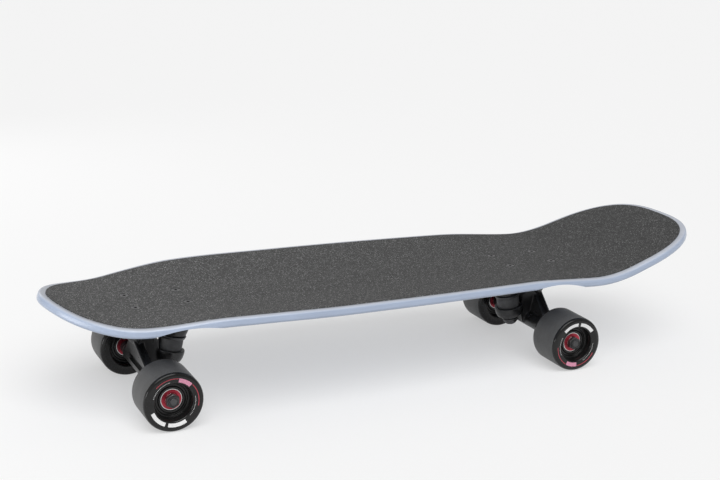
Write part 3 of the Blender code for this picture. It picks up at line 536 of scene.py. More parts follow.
BLACK_COAT = coated_finish("black_coat", (0.018, 0.018, 0.0185), 0.32, 0.02 * MM, 1400)
BLACK_STEEL = coated_finish("black_steel", (0.075, 0.075, 0.077), 0.36, 0.02 * MM, 2400, metallic=0.7)
PAD_RUBBER = coated_finish("pad_rubber", (0.014, 0.014, 0.014), 0.72, 0.04 * MM, 2200)
BUSHING_URETHANE = coated_finish(
    "bushing_urethane", (0.1, 0.1, 0.102), 0.5, 0.03 * MM, 900, specular=0.3,
)
CORE_PLASTIC = coated_finish("core_plastic", (0.006, 0.006, 0.006), 0.2, 0.01 * MM, 900, specular=0.35)
CAST_URETHANE = coated_finish(
    "cast_urethane", (0.0095, 0.0095, 0.0095), 0.14, 0.008 * MM, 500, specular=0.34,
)
SHIELD_RED = coated_finish("shield_red", (0.42, 0.032, 0.055), 0.34, 0.01 * MM, 1500, metallic=0.5)


# %% [markdown]
# A new wheel's tread is ground on a lathe, so it is matte and a little paler than the cast
# sides, with marks that run round it. The grain is stretched across the tread for that reason.

# %% Ground tread
def tread_finish():
    tread = Finish("ground_tread", (0.1, 0.1, 0.1), 0.5, specular=0.6)
    across = tread.place(stretch=(1, 6, 1))
    mottle = tread.mottled(tread.place(), 900, 5, 0.062, 0.096)
    tread.set("Base Color", tread.times(mottle, tread.mottled(across, 90, 3, 0.88, 1.1)))
    tread.bump(tread.noise(across, 700, 4), 0.05 * MM, 0.6)
    return tread.material


GROUND_TREAD = tread_finish()


# %% [markdown]
# Steel shows mostly what it reflects. Brushed marks are a noise that is stretched a lot one
# way. The print on the wheels is a thin opaque ink.

# %% Bright steel and inks
def steel_finish(name, colour, roughness):
    steel = Finish(name, colour, roughness, metallic=1.0)
    brushed = steel.place(stretch=(1, 12, 1))
    steel.set("Roughness", steel.mottled(brushed, 900, 3, roughness * 0.8, roughness * 1.25))
    return steel.material


def ink_finish(name, colour, fleck):
    ink = Finish(name, colour, 0.45, specular=0.4)
    tone = ink.mottled(ink.place(), 1300, 3, shade(colour, fleck), shade(colour, 1.12), spread=0.12)
    ink.set("Base Color", tone)
    return ink.material


BRIGHT_STEEL = steel_finish("bright_steel", (0.58, 0.58, 0.58), 0.24)
WHITE_INK = ink_finish("white_ink", (0.86, 0.86, 0.86), 0.93)
PINK_INK = ink_finish("pink_ink", (0.78, 0.33, 0.47), 0.72)
RED_INK = ink_finish("red_ink", (0.42, 0.05, 0.075), 0.85)


# %% [markdown]
# The bolts are black, and shoes have worn the top of each head bright. The finish reads its
# height on the piece: below the edge of the head it is black, at the top it is bare steel.

# %% Black steel that is worn bright on top of the heads
def worn_finish(top):
    black, bare = (0.045, 0.045, 0.047), (0.3, 0.3, 0.305)
    steel = Finish("worn_bolt_steel", black, 0.36, metallic=0.9)
    here = steel.place()
    worn = steel.along_axis(here, "Z", top - 0.55 * MM, top - 0.2 * MM)
    scuffs = steel.mottled(here, 2400, 3, 0.8, 1.2)
    steel.set("Base Color", steel.times(steel.mixed(worn, black, bare), scuffs))
    return steel.material


BOLT_STEEL = worn_finish(HEAD_TOP)
print("finishes:", len(bpy.data.materials))


# %% [markdown]
# ## Deck
# The real deck is seven plies of maple, pressed in a mould and cut to its outline. Its top is a
# sheet with three shapes laid over each other: raised edges between the trucks, a kick at the
# nose and a longer one at the tail. It could be a grid that is moved by hand. Here it is made as
# a factory does it, because its shape follows a rule: a flat blank with the final outline and a
# rounded rim, and a mould, written in Geometry Nodes, that bends the blank.

# %% The deck's outline in plan
def through_points(points, steps):
    """A centripetal Catmull-Rom curve through points that cross the centre line square."""
    first = Vector((points[1].x, -points[1].y))
    last = Vector((points[-2].x, -points[-2].y))
    chain = [first, *points, last]
    curve = []
    for p0, p1, p2, p3 in zip(chain, chain[1:], chain[2:], chain[3:]):
        t1 = (p1 - p0).length ** 0.5
        t2 = t1 + (p2 - p1).length ** 0.5
        t3 = t2 + (p3 - p2).length ** 0.5
        for step in range(steps):
            t = t1 + (t2 - t1) * step / steps
            a1 = p0.lerp(p1, t / t1)
            a2 = p1.lerp(p2, (t - t1) / (t2 - t1))
            a3 = p2.lerp(p3, (t - t2) / (t3 - t2))
            b1 = a1.lerp(a2, t / t2)
            b2 = a2.lerp(a3, (t - t1) / (t3 - t1))
            curve.append(b1.lerp(b2, (t - t1) / (t2 - t1)))
    curve.append(points[-1].copy())
    return curve


outline_points = [
    Vector((origin + share * length, width * HALF_WIDTH))
    for origin, length, shares in (
        (FRONT_AXLE_X, NOSE_OVERHANG, NOSE_OUTLINE),
        (REAR_AXLE_X, WHEELBASE, MIDDLE_OUTLINE),
        (REAR_AXLE_X, -TAIL_OVERHANG, TAIL_OUTLINE),
    )
    for share, width in shares
]
OUTLINE = through_points(outline_points, 12)

OUTWARD = [Vector((1, 0))]
for before, after in zip(OUTLINE, OUTLINE[2:]):
    along = after - before
    OUTWARD.append(Vector((along.y, -along.x)).normalized())
OUTWARD.append(Vector((-1, 0)))
print("outline points:", len(OUTLINE), "widest", round(2 * max(p.y for p in OUTLINE), 4))


# %% [markdown]
# The mould is a rule that gives a height for every place on the board. A kick is an arc of a
# big circle that goes over into a straight slope. The raised edges grow from a level middle
# and fade out before each kick. As a node tree, the rule has its sizes as named inputs.

# %% The mould: a height for every place
MOULD = {
    "Half Width": HALF_WIDTH,
    "Nose Start": FRONT_AXLE_X + 17.5 * MM, "Nose Radius": 200 * MM, "Nose Angle": math.radians(20.5),
    "Tail Start": REAR_AXLE_X - 22.1 * MM, "Tail Radius": 188 * MM, "Tail Angle": math.radians(17.5),
    "Edge Rise": 7.7 * MM, "Least Rise": 0.4 * MM, "Level Share": 0.25, "Edge Power": 1.35,
    "Front Fade Out": FRONT_AXLE_X + 48 * MM, "Front Fade In": FRONT_AXLE_X - 58.7 * MM,
    "Rear Fade Out": REAR_AXLE_X - 48 * MM, "Rear Fade In": REAR_AXLE_X + 66.7 * MM,
    "Swell Rise": 1.2 * MM, "Swell End": FRONT_AXLE_X - 177 * MM, "Swell Full": FRONT_AXLE_X - 77 * MM,
}


def mould_tree():
    inputs = {"Place": "Vector", **dict.fromkeys(MOULD, "Float")}
    mould = Recipe("mould_height", inputs, {"Height": "Float"})
    do, size = mould.do, mould.size
    x, y, _ = mould.add("ShaderNodeSeparateXYZ", {0: size["Place"]}, output=None)

    def kick(run, radius, angle):
        arc = do("MULTIPLY", radius, do("SINE", angle))
        bent = do("MINIMUM", do("MAXIMUM", run, 0.0), arc)
        drop = do("SQRT", do("SUBTRACT", do("MULTIPLY", radius, radius), do("MULTIPLY", bent, bent)))
        straight = do("MULTIPLY", do("MAXIMUM", do("SUBTRACT", run, arc), 0.0), do("TANGENT", angle))
        return do("ADD", do("SUBTRACT", radius, drop), straight)

    def fade(outer, inner):
        values = {"Value": x, "From Min": size[outer], "From Max": size[inner]}
        return mould.add("ShaderNodeMapRange", values, interpolation_type="SMOOTHSTEP")

    nose = kick(do("SUBTRACT", x, size["Nose Start"]), size["Nose Radius"], size["Nose Angle"])
    tail = kick(do("SUBTRACT", size["Tail Start"], x), size["Tail Radius"], size["Tail Angle"])
    front = fade("Front Fade Out", "Front Fade In")
    faded = do("MINIMUM", front, fade("Rear Fade Out", "Rear Fade In"))
    swell = do("MINIMUM", front, fade("Swell End", "Swell Full"))
    rise = do("MULTIPLY_ADD", faded, size["Edge Rise"], size["Least Rise"])
    rise = do("MULTIPLY_ADD", swell, size["Swell Rise"], rise)
    share = do("SUBTRACT", do("DIVIDE", do("ABSOLUTE", y), size["Half Width"]), size["Level Share"])
    share = do("DIVIDE", do("MAXIMUM", share, 0.0), do("SUBTRACT", 1.0, size["Level Share"]))
    edges = do("MULTIPLY", rise, do("POWER", share, size["Edge Power"]))
    mould.plug(mould.end, do("ADD", edges, do("ADD", nose, tail)))
    return mould.tree


MOULD_TREE = mould_tree()
print("mould nodes:", len(MOULD_TREE.nodes))


# %% [markdown]
# Pressing lays a flat blank on the mould. Its veneers keep their thickness square to the sheet,
# so a point below the top face goes down along the slope's normal. The normal comes from the
# mould's heights half a millimetre to each side.

# %% The press: a flat blank takes the mould's shape
def press_tree():
    sizes = dict.fromkeys(["Top Height", *MOULD], "Float")
    inputs = {"Blank": "Geometry", "Finish": "Material", **sizes}
    press = Recipe("press_in_mould", inputs, {"Deck": "Geometry"})
    add, do, size = press.add, press.do, press.size
    here = add("GeometryNodeInputPosition")
    x, y, z = add("ShaderNodeSeparateXYZ", {0: here}, output=None)

    def height(shift_x=0.0, shift_y=0.0):
        place = add("ShaderNodeVectorMath", {0: here, 1: (shift_x, shift_y, 0)})
        inputs = {"Place": place, **{name: size[name] for name in MOULD}}
        return add("GeometryNodeGroup", inputs, node_tree=MOULD_TREE)

    step = 0.5 * MM
    slope_x = do("DIVIDE", do("SUBTRACT", height(-step, 0), height(step, 0)), 2 * step)
    slope_y = do("DIVIDE", do("SUBTRACT", height(0, -step), height(0, step)), 2 * step)
    leaning = add("ShaderNodeCombineXYZ", {"X": slope_x, "Y": slope_y, "Z": 1})
    square = add("ShaderNodeVectorMath", {0: leaning}, operation="NORMALIZE")
    depth = add("ShaderNodeVectorMath", {0: square, "Scale": z}, operation="SCALE")
    lifted = do("ADD", size["Top Height"], height())
    top = add("ShaderNodeCombineXYZ", {"X": x, "Y": y, "Z": lifted})
    place = add("ShaderNodeVectorMath", {0: top, 1: depth})
    return press.painted(add("GeometryNodeSetPosition", {"Geometry": size["Blank"], "Position": place}))


PRESS_TREE = press_tree()


def pressed(blank, finish):
    return shaped_by_nodes(PRESS_TREE, {"Finish": finish, "Top Height": DECK_TOP, **MOULD}, blank)


# %% [markdown]
# The blank itself is a flat board with its final outline. Each section across it is one closed
# ring of points, rim included, and the rings are sewn together from nose to tail. That keeps
# the rounded rim even all the way round.

# %% Flat blanks
# Depth from the top over which the painted sheen fades, so that it reaches onto the rounded edge.
SHEEN_DEPTH = 2.2 * MM


def flat_blank(top, bottom, inset, rim, bands):
    """A closed flat board, top and bottom as depths. Rim is a list of (outwards, depth)."""
    shape = bmesh.new()
    sheen_share = shape.verts.layers.float.new("sheen_share")
    rings = []
    for centre, outward in zip(OUTLINE, OUTWARD):
        inner = centre - outward * inset
        ring = [(inner.x, inner.y * (2 * step / bands - 1), -top) for step in range(bands + 1)]
        edge = [(centre + outward * out, depth) for out, depth in rim]
        ring += [(place.x, place.y, -depth) for place, depth in edge]
        ring += [(inner.x, inner.y * (1 - 2 * step / bands), -bottom) for step in range(bands + 1)]
        ring += [(place.x, -place.y, -depth) for place, depth in reversed(edge)]
        rings.append([shape.verts.new(point) for point in ring])
        # Share of the painted sheen: 1 on the top face, fading out down the rim.
        for point in rings[-1]:
            point[sheen_share] = max(0.0, 1 + point.co.z / SHEEN_DEPTH)
    sew(shape, rings)
    bmesh.ops.remove_doubles(shape, verts=shape.verts, dist=0.002 * MM)
    bmesh.ops.recalc_face_normals(shape, faces=shape.faces)
    return shape


def round_rim(thickness, radius, trim, steps=6):
    """Rim profile of a board with both edges rounded, trimmed a hair inside the outline."""
    angles = [math.radians(90) * step / steps for step in range(steps + 1)]
    start = -radius - 1 * MM
    points = [(start, 0.0)]
    points += [(radius * math.sin(a) - radius, radius - radius * math.cos(a)) for a in angles]
    centre = thickness - radius
    points += [(radius * math.cos(a) - radius, centre + radius * math.sin(a)) for a in angles]
    points.append((start, thickness))
    return [(out - trim, depth) for out, depth in points]


# %% [markdown]
# The wheels need room when the board leans, so a shallow scoop is cut in the underside over
# each of them. The tool is a stretched ball. A ray shot up from the wheel finds the pressed
# underside and its slope, and the ball is set so that only its cap bites. The bolt holes go
# right through, with a cone at the top in which the head sits.

# %% Press the deck, cut the wheel wells and the bolt holes
WELL_RADIUS, WELL_DEPTH = 122 * MM, 4.9 * MM
WELL_PLACES = [
    (middle, side * 90 * MM)
    for middle in (FRONT_AXLE_X - 17 * MM, REAR_AXLE_X + 28 * MM) for side in (1, -1)
]


def well_tools(underside):
    angles = [math.radians(24) * step / 24 for step in range(1, 25)]
    cap = [(0, WELL_RADIUS)]
    cap += [(WELL_RADIUS * math.sin(a), WELL_RADIUS * math.cos(a)) for a in angles]
    cap += [(cap[-1][0], WELL_RADIUS * 0.85), (0, WELL_RADIUS * 0.85)]
    stretch = Matrix.Diagonal((1, 1.36, 1, 1))
    tools = []
    for x, y in WELL_PLACES:
        place, normal, _, _ = underside.ray_cast(Vector((x, y, 0)), Vector((0, 0, 1)))
        tilt = Vector((0, 0, 1)).rotation_difference(-normal).to_matrix().to_4x4()
        centre = Matrix.Translation(place + normal * (WELL_RADIUS - WELL_DEPTH))
        tools.append(turned(cap, 96, centre @ tilt @ stretch))
    return tools


def bolt_places(middle):
    """Where the four bolts of a truck stand round their middle."""
    return [(middle + a * BOLTS_LONG / 2, b * BOLTS_WIDE / 2) for a in (1, -1) for b in (1, -1)]


def drills(profile, places, sides=40):
    """One turned cutter for each place, from (radius, height) points."""
    solid = [(0, profile[0][1]), *profile, (0, profile[-1][1])]
    return [turned(solid, sides, move(x, y)) for x, y in places]


BOLT_PLACES = {
    end: bolt_places(axle_x - outboard * PLATE_SHIFT) for end, (axle_x, outboard) in ENDS.items()
}
ALL_BOLTS = BOLT_PLACES["front"] + BOLT_PLACES["rear"]

blank = flat_blank(0, DECK_THICKNESS, GRIP_INSET, round_rim(DECK_THICKNESS, RIM_RADIUS, 0.2 * MM), 28)
deck_shape = pressed(blank, LACQUER)
wells = well_tools(BVHTree.FromBMesh(deck_shape))
countersink = [
    (4.9 * MM, GRIP_TOP + 5 * MM), (4.9 * MM, HEAD_TOP - 0.35 * MM),
    (HOLE_RADIUS, HEAD_TOP - 2.8 * MM), (HOLE_RADIUS, DECK_BOTTOM - 5 * MM),
]
deck_shape = cut(deck_shape, wells + drills(countersink, ALL_BOLTS))
deck_shape.normal_update()
# No painted sheen on faces that look down, such as the wheel wells.
sheen_share = deck_shape.verts.layers.float["sheen_share"]
for vert in deck_shape.verts:
    if vert.normal.z < -0.5:
        vert[sheen_share] = 0.0
deck = add_piece("pressed_deck", deck_shape, LACQUER, "board", ["deck"], sharp_angle=25)
print("deck:", triangles(deck), "triangles")

# %% [markdown]
# The grip sheet is stuck on after the lacquer and trimmed with a knife a few millimetres inside
# the rim. It is cut through at each bolt, so that the head sits level with it.

# %% Lay the grip sheet
knife_cut = -GRIP_INSET + 0.12 * MM
grip_edge = [(-GRIP_INSET, -0.95 * MM), (knife_cut, -0.8 * MM), (knife_cut, -0.1 * MM)]
grip_shape = pressed(flat_blank(-1 * MM, -0.05 * MM, GRIP_INSET + 0.3 * MM, grip_edge, 40), GRIT)
holes = drills([(4.75 * MM, GRIP_TOP + 5 * MM), (4.75 * MM, DECK_TOP - 3 * MM)], ALL_BOLTS)
grip_shape = cut(grip_shape, holes)
grip = add_piece("grip_sheet", grip_shape, GRIT, "board", ["grip_tape"], sharp_angle=40)
print("grip sheet:", triangles(grip), "triangles")


# %% [markdown]
# ## Truck bolts
# Each truck hangs on four countersunk bolts at the corners of a rectangle. The four are alike,
# so one bolt is modelled and Geometry Nodes set it out: a grid of two by two points takes the
# spacing as inputs, and the bolt is put on every point. Another spacing is then one number.

# %% Lay copies at the corners of a rectangle, with nodes
def corner_tree():
    inputs = {"Copy": "Object", "Long Spacing": "Float", "Wide Spacing": "Float", "Finish": "Material"}
    corners = Recipe("copies_on_corners", inputs, {"Geometry": "Geometry"})
    add, size = corners.add, corners.size
    spacing = {"Size X": size["Long Spacing"], "Size Y": size["Wide Spacing"]}
    grid = add("GeometryNodeMeshGrid", {**spacing, "Vertices X": 2, "Vertices Y": 2})
    one = add("GeometryNodeObjectInfo", {"Object": size["Copy"]}, output="Geometry")
    return corners.painted(add("GeometryNodeInstanceOnPoints", {"Points": grid, "Instance": one}))


CORNER_TREE = corner_tree()


# %% One bolt with its locking nut
def hexagon(corner, low, high):
    """A six-sided bar between two heights, with its radius to the corners."""
    shape = bmesh.new()
    sizes = {"radius1": corner, "radius2": corner, "depth": high - low}
    bmesh.ops.create_cone(shape, cap_ends=True, segments=6, **sizes)
    bmesh.ops.translate(shape, vec=(0, 0, (low + high) / 2), verts=shape.verts)
    return shape


def hex_blank(width, low, high, chamfer):
    """A hexagon whose corners are turned down at both ends, as on a real nut."""
    corner = width / 2 / math.cos(math.pi / 6)
    slope = (corner - width / 2) * 0.6 + chamfer * 0.3
    flat, outside = width / 2 - chamfer * 0.4, corner + 0.01 * MM
    profile = [(0, high), (flat, high), (outside, high - slope)]
    profile += [(outside, low + slope), (flat, low), (0, low)]
    return cut(hexagon(corner, low, high), [turned(profile, 64)], "INTERSECT")


NUT_TOP = 80.7 * MM
TIP = NUT_TOP - 7.0 * MM
SHANK = 2.35 * MM
head = smooth_profile([(0, 0), (4.5, 0, 0.35), (4.5, -0.35, 0.1), (2.35, -2.6, 0.3), (2.35, -29)])
head = [(r, h + HEAD_TOP) for r, h in head[:-1]]
bolt_shape = turned(head + [(SHANK, TIP + 0.4 * MM), (1.9 * MM, TIP), (0, TIP)], 40)
bolt_shape = cut(bolt_shape, [hexagon(2.0 * MM, HEAD_TOP - 1.8 * MM, HEAD_TOP + 2.6 * MM)])
nut_shape = hex_blank(9.4 * MM, NUT_TOP - 4 * MM, NUT_TOP, 0.5 * MM)
collar = smooth_profile([(0, 0), (4.2, 0), (4.1, -5.0, 0.5), (3.3, -5.4, 0.2), (0, -5.4)])
collar = turned([(r, h + NUT_TOP - 0.2 * MM) for r, h in collar], 40)
bolt_shape = cut(bolt_shape, [nut_shape, collar], "UNION")

one_bolt = object_of("one_bolt", bolt_shape)
layout = {"Copy": one_bolt, "Long Spacing": BOLTS_LONG, "Wide Spacing": BOLTS_WIDE, "Finish": BOLT_STEEL}
for end, (axle_x, outboard) in ENDS.items():
    shape = shaped_by_nodes(CORNER_TREE, layout)
    shape.transform(move(axle_x - outboard * PLATE_SHIFT))
    nodes = [f"{end}_deck_bolt_{number}" for number in range(1, 5)]
    bolts = add_piece(f"{end}_truck_bolts", shape, BOLT_STEEL, "board", nodes)
    print(bolts.name, triangles(bolts), "triangles")
bpy.data.objects.remove(one_bolt, do_unlink=True)


# %% [markdown]
# ## Trucks
# A truck is drawn in a frame of its own: the origin on the middle of its axle, x outboard to
# the near end of the deck, z up. The rear truck is the front one turned half round. Two lines
# rule it. The kingpin leans 12 degrees and carries the bushings. The steering line runs from
# the middle of the kingpin ring up to the pivot.

# %% The truck's own frame
RING_CENTRE = Vector((-25.5 * MM, 0, 13 * MM))
PIVOT_TIP = Vector((20.5 * MM, 0, 45.5 * MM))
KINGPIN_PLACE = Matrix.Translation(RING_CENTRE) @ turn(-12, "Y")
steer_line = PIVOT_TIP - RING_CENTRE
STEER_TILT = math.degrees(math.atan2(steer_line.x, steer_line.z))
PIVOT_PLACE = Matrix.Translation(PIVOT_TIP) @ turn(STEER_TILT, "Y")
AXLE_TURN = turn(-90, "X")
TRUCK_PLACES = {
    "front": move(FRONT_AXLE_X, 0, AXLE_HEIGHT),
    "rear": move(REAR_AXLE_X, 0, AXLE_HEIGHT) @ turn(180, "Z"),
}
print("steering line:", round(90 - STEER_TILT, 1), "degrees above the horizontal")


def add_to_trucks(name, shape, finish, replaced=None, steers=False):
    """Put a copy of a shape, drawn in the truck's own frame, in each truck."""
    for end, place in TRUCK_PLACES.items():
        copy = shape.copy()
        copy.transform(place)
        body = f"{end}_truck" if steers else "board"
        nodes = [f"{end}_{replaced}"] if replaced else ()
        piece = add_piece(f"{end}_{name}", copy, finish, body, nodes)
        print(piece.name, triangles(piece), "triangles")
    shape.free()


# %% [markdown]
# The baseplate is a casting: a flat plate with a boss for the kingpin, a boss for the pivot cup
# and a rib between them. The parts are melted together with the voxel remesh, and the flat top
# and the bores are machined into it afterwards.

# %% Cast the baseplates
PLATE_TOP = 57 * MM
PLATE_OUTLINE = rounded_rectangle(PLATE_LENGTH, PLATE_WIDTH, PLATE_CORNER)


def baseplate_shape():
    rib = rounded_rectangle(46 * MM, 15 * MM, 2 * MM, 3)
    block = rounded_rectangle(0.2, 0.2, 0.01, 1)
    parts = [
        extruded(PLATE_OUTLINE, 9 * MM, move(-PLATE_SHIFT, 0, PLATE_TOP - 1.5 * MM)),
        turned(in_mm([(0, 46), (16.5, 46), (15.5, 26), (14, 20.4), (0, 20.4)]), 64, KINGPIN_PLACE),
        turned(in_mm([(0, 6.5), (10.5, 6.5), (10.5, -6.5), (0, -6.5)]), 64, PIVOT_PLACE),
        extruded(rib, 12 * MM, move(-2.5 * MM, 0, PLATE_TOP - 5 * MM)),
    ]
    pocket = in_mm([(0, 4.5), (8.3, 4.5), (8.3, -6.3), (12, -6.3), (12, -28), (0, -28)])
    tools = [
        extruded(block, 40 * MM, move(0, 0, PLATE_TOP + 20 * MM)),
        turned(in_mm([(0, 40), (5.1, 40), (5.1, 10), (0, 10)]), 40, KINGPIN_PLACE),
        turned(pocket, 64, PIVOT_PLACE),
        *drills([(HOLE_RADIUS, 0.1), (HOLE_RADIUS, 0.02)], bolt_places(-PLATE_SHIFT), 32),
    ]
    return cut(cast(parts, 0.8 * MM, 4), tools)


add_to_trucks("base_casting", baseplate_shape(), BLACK_COAT, "baseplate")

# %% [markdown]
# The hanger is the other casting. It holds the axle, and its shoulders rise to the neck that
# turns in the pivot cup. A leaning, three-cornered face stiffens its outboard side, and a thin rib
# stands proud along each edge of it. The bowl-shaped ring on its other side sits between the
# bushings. The casting is melted together first, and what has a crisp edge, the seats and the
# hollow under the face, is cut afterwards.

# %% Cast the hangers
def mirrored(points):
    """One half of an outline, and the same again on the other side of Y = 0."""
    return points + [(-x, y) for x, y in reversed(points)]


def hanger_shape():
    lean = move(x=6.7 * MM) @ turn(10.4, "Y") @ turn(90, "Z") @ turn(90, "X")
    housing = two_sided([(0, 66.4), (7.2, 66.4), (7.2, 56.4), (8.8, 50.4)])
    face = mirrored([(46, 1), (46, 5.4), (7.5, 32.8), (7.5, 37)])
    back = mirrored([(41, 0), (41, 4.6), (7, 28), (7, 37)])
    keel = [
        (-25.5, 9.5), (-8.8, -4.4), (7.0, 3.5), (7.5, 18), (12.5, 32.5),
        (8.5, 39), (-3, 36), (-13.5, 30), (-13.5, 20), (-25.5, 17),
    ]
    neck = [(0, 2.5), (3.2, 2.5), (5.4, 0), (5.4, -8), (8, -8), (10, -16), (10, -20), (0, -20)]
    bowl = [(0, 5), (16, 5), (16.2, 1.5), (15.4, -3), (14, -6.6), (0, -6.6)]
    parts = [
        turned(in_mm(housing), 64, AXLE_TURN),
        extruded(in_mm(face), 2.9 * MM, lean @ move(z=-1.3 * MM)),
        extruded(in_mm(back), 9 * MM, lean @ move(z=-5 * MM)),
        extruded(in_mm(keel), 14 * MM, turn(90, "X")),
        turned(in_mm(neck), 48, PIVOT_PLACE),
        turned(in_mm(bowl), 64, KINGPIN_PLACE),
    ]
    seats = [
        (0, 21), (13.1, 21), (13.1, 3), (6.6, 3), (6.6, -3.5), (9.95, -3.5),
        (9.95, -5.3), (12.7, -5.3), (13.2, -21.3), (0, -21.3),
    ]
    hollow = rounded_rectangle(50 * MM, 7.8 * MM, 2 * MM)
    hollow = extruded(hollow, 8 * MM, move(x=8.7 * MM, z=5.7 * MM) @ turn(90, "Z") @ turn(90, "X"))
    return cut(cast(parts, 0.5 * MM, 8), [turned(in_mm(seats), 64, KINGPIN_PLACE), hollow])


add_to_trucks("hanger_casting", hanger_shape(), BLACK_COAT, "hanger", steers=True)

# %% [markdown]
# The kingpin, its washers, the two bushings and the pivot cup are all round, so they are turned
# from profiles. The bushings are squeezed between the ring, which steers, and the baseplate,
# which doesn't. They are blended from one body to the other, so that they bend with the truck.

# %% Kingpin, washers and cups
KINGPIN_PROFILE = smooth_profile([
    (0, 42.8), (8.2, 42.8, 0.5), (8.2, 37.8, 0.3), (4.75, 37.8), (4.75, -17.2, 0.6), (4.2, -17.7),
    (0, -17.7),
])
BOARDSIDE_WASHER = smooth_profile([
    (5.1, 20.1), (14.4, 20.1, 0.3), (14.9, 19.4, 0.3), (13.6, 16.6, 0.3), (12.9, 16.8, 0.2),
    (13.2, 18.6, 0.3), (5.1, 18.6),
])
ROADSIDE_WASHER = smooth_profile([(5.1, -10.1), (9, -10.1, 0.4), (9, -11.6, 0.4), (5.1, -11.6)])
PIVOT_CUP = smooth_profile([
    (0, 3.8), (7.9, 3.8, 0.8), (7.9, -6.0, 0.2), (8.9, -6.0, 0.2), (8.9, -6.9, 0.4), (5.75, -6.9, 0.3),
    (5.75, 2.6, 0.3), (0, 2.6),
])


def nut_with_collar(width, height, bore, place):
    """A locking nut that stands on Z = 0 of its place, with a round collar that grips the thread."""
    body = hex_blank(width, 0, height * 0.72, 0.6 * MM)
    rim, inside = width / 2 * 0.84, bore + 0.6 * MM
    profile = softened([
        (0, 0.5 * MM), (rim, 0.5 * MM), (rim, height, 0.9 * MM), (inside, height, 0.3 * MM),
        (inside, height - 0.8 * MM), (0, height - 0.8 * MM),
    ])
    nut = cut(body, [turned(profile, 64)], "UNION")
    nut.transform(place)
    return nut


under_washer = KINGPIN_PLACE @ move(z=-11.9 * MM) @ turn(180, "X")
king_nut = nut_with_collar(14.3 * MM, 5.2 * MM, 4.8 * MM, under_washer)
for name, shape, replaced in (
    ("king_bolt", turned(KINGPIN_PROFILE, 48, KINGPIN_PLACE), "kingpin"),
    ("upper_cup_washer", turned(BOARDSIDE_WASHER, 64, KINGPIN_PLACE, closed=True), "boardside_washer"),
    ("lower_washer", turned(ROADSIDE_WASHER, 64, KINGPIN_PLACE, closed=True), "roadside_washer"),
    ("king_nut", king_nut, "kingpin_nut"),
):
    add_to_trucks(name, shape, BLACK_STEEL, replaced)
pivot_cup = turned(PIVOT_CUP, 48, PIVOT_PLACE)
add_to_trucks("urethane_cup", pivot_cup, BUSHING_URETHANE, "pivot_cup")

# %% Bushings that bend with the truck
BOARDSIDE_BUSHING = in_mm([
    (5.1, 18.3), (11.6, 18.3, 0.8), (12.5, 17.3, 0.8), (12.9, 11, 3), (12.5, 4.6, 1),
    (11.6, 3.3, 0.8), (5.1, 3.3),
])
ROADSIDE_BUSHING = in_mm([
    (5.1, -3.8), (9.3, -3.8, 0.5), (9.6, -5.2, 0.6), (9.3, -7.6, 1), (8.3, -9.8, 0.6), (5.1, -9.8),
])
BEND_STEP = 1.2 * MM


def finely_split(profile):
    """A closed profile with its tall sides split, so that the piece has rings to bend at."""
    fine = []
    for (r1, h1), (r2, h2) in zip(profile, profile[1:] + profile[:1]):
        parts = max(1, round(abs(h2 - h1) / BEND_STEP))
        fine += [(r1 + (r2 - r1) * k / parts, h1 + (h2 - h1) * k / parts) for k in range(parts)]
    return fine


for end, place in TRUCK_PLACES.items():
    column = place @ KINGPIN_PLACE
    for label, profile, top, foot in (
        ("boardside", BOARDSIDE_BUSHING, 18.3, 3.3),
        ("roadside", ROADSIDE_BUSHING, -9.8, -3.8),
    ):
        shape = turned(finely_split(softened(profile, 5)), 64, column, closed=True)
        node_name = f"{end}_{label}_bushing"
        piece = add_piece(f"{end}_{label}_urethane", shape, BUSHING_URETHANE, None, [node_name])
        fixed = column @ Vector((0, 0, top * MM))
        moving = column @ Vector((0, 0, foot * MM))
        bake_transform(piece, "board", f"{end}_truck", start=tuple(fixed), end=tuple(moving))

# %% [markdown]
# A riser pad lies between each baseplate and the deck. It takes up small unevenness and keeps
# the bolts from rattling loose. Its edge shows as a dark line.

# %% Riser pads
for end, (axle_x, outboard) in ENDS.items():
    middle = axle_x - outboard * PLATE_SHIFT
    pad = bmesh.new()
    rings = []
    for height, inset in in_mm([(0, 0.3), (0.3, 0), (4.4, 0), (4.7, 0.3)]):
        along, across = 1 - 2 * inset / PLATE_LENGTH, 1 - 2 * inset / PLATE_WIDTH
        places = [(middle + x * along, y * across, RISER_BOTTOM + height) for x, y in PLATE_OUTLINE]
        rings.append([pad.verts.new(place) for place in places])
    holes = drills([(HOLE_RADIUS, 0.1), (HOLE_RADIUS, 0.08)], BOLT_PLACES[end], 32)
    pad = cut(sew(pad, rings, capped=True), holes)
    add_piece(f"{end}_shock_pad", pad, PAD_RUBBER, "board", [f"{end}_riser_pad"])
print("trucks and pads done")


# %% [markdown]
# ## Axles
# The axle is a steel rod through the hanger. Its ends are threaded for the nuts. A thread is a
# small ridge that climbs round a rod, which Geometry Nodes make from a spiral curve with a
# triangle swept along it.

# %% A screw thread, with nodes
def thread_tree():
    inputs = {**dict.fromkeys(["Radius", "Length", "Turns", "Ridge"], "Float"), "Finish": "Material"}
    thread = Recipe("screw_thread", inputs, {"Geometry": "Geometry"})
    size = thread.size
    spiral = thread.add("GeometryNodeCurveSpiral", {
        "Resolution": 24, "Rotations": size["Turns"], "Height": size["Length"],
        "Start Radius": size["Radius"], "End Radius": size["Radius"],
    })
    ridge = thread.add("GeometryNodeCurvePrimitiveCircle", {"Resolution": 3, "Radius": size["Ridge"]})
    inputs = {"Curve": spiral, "Profile Curve": ridge, "Fill Caps": True}
    return thread.painted(thread.add("GeometryNodeCurveToMesh", inputs))


THREAD_TREE = thread_tree()


def thread_shape(radius, length, place):
    pitch = 0.9 * MM
    values = {"Radius": radius, "Length": length, "Turns": length / pitch, "Ridge": pitch / 2}
    shape = shaped_by_nodes(THREAD_TREE, {**values, "Finish": BLACK_STEEL})
    bmesh.ops.recalc_face_normals(shape, faces=shape.faces)
    shape.transform(place)
    return shape


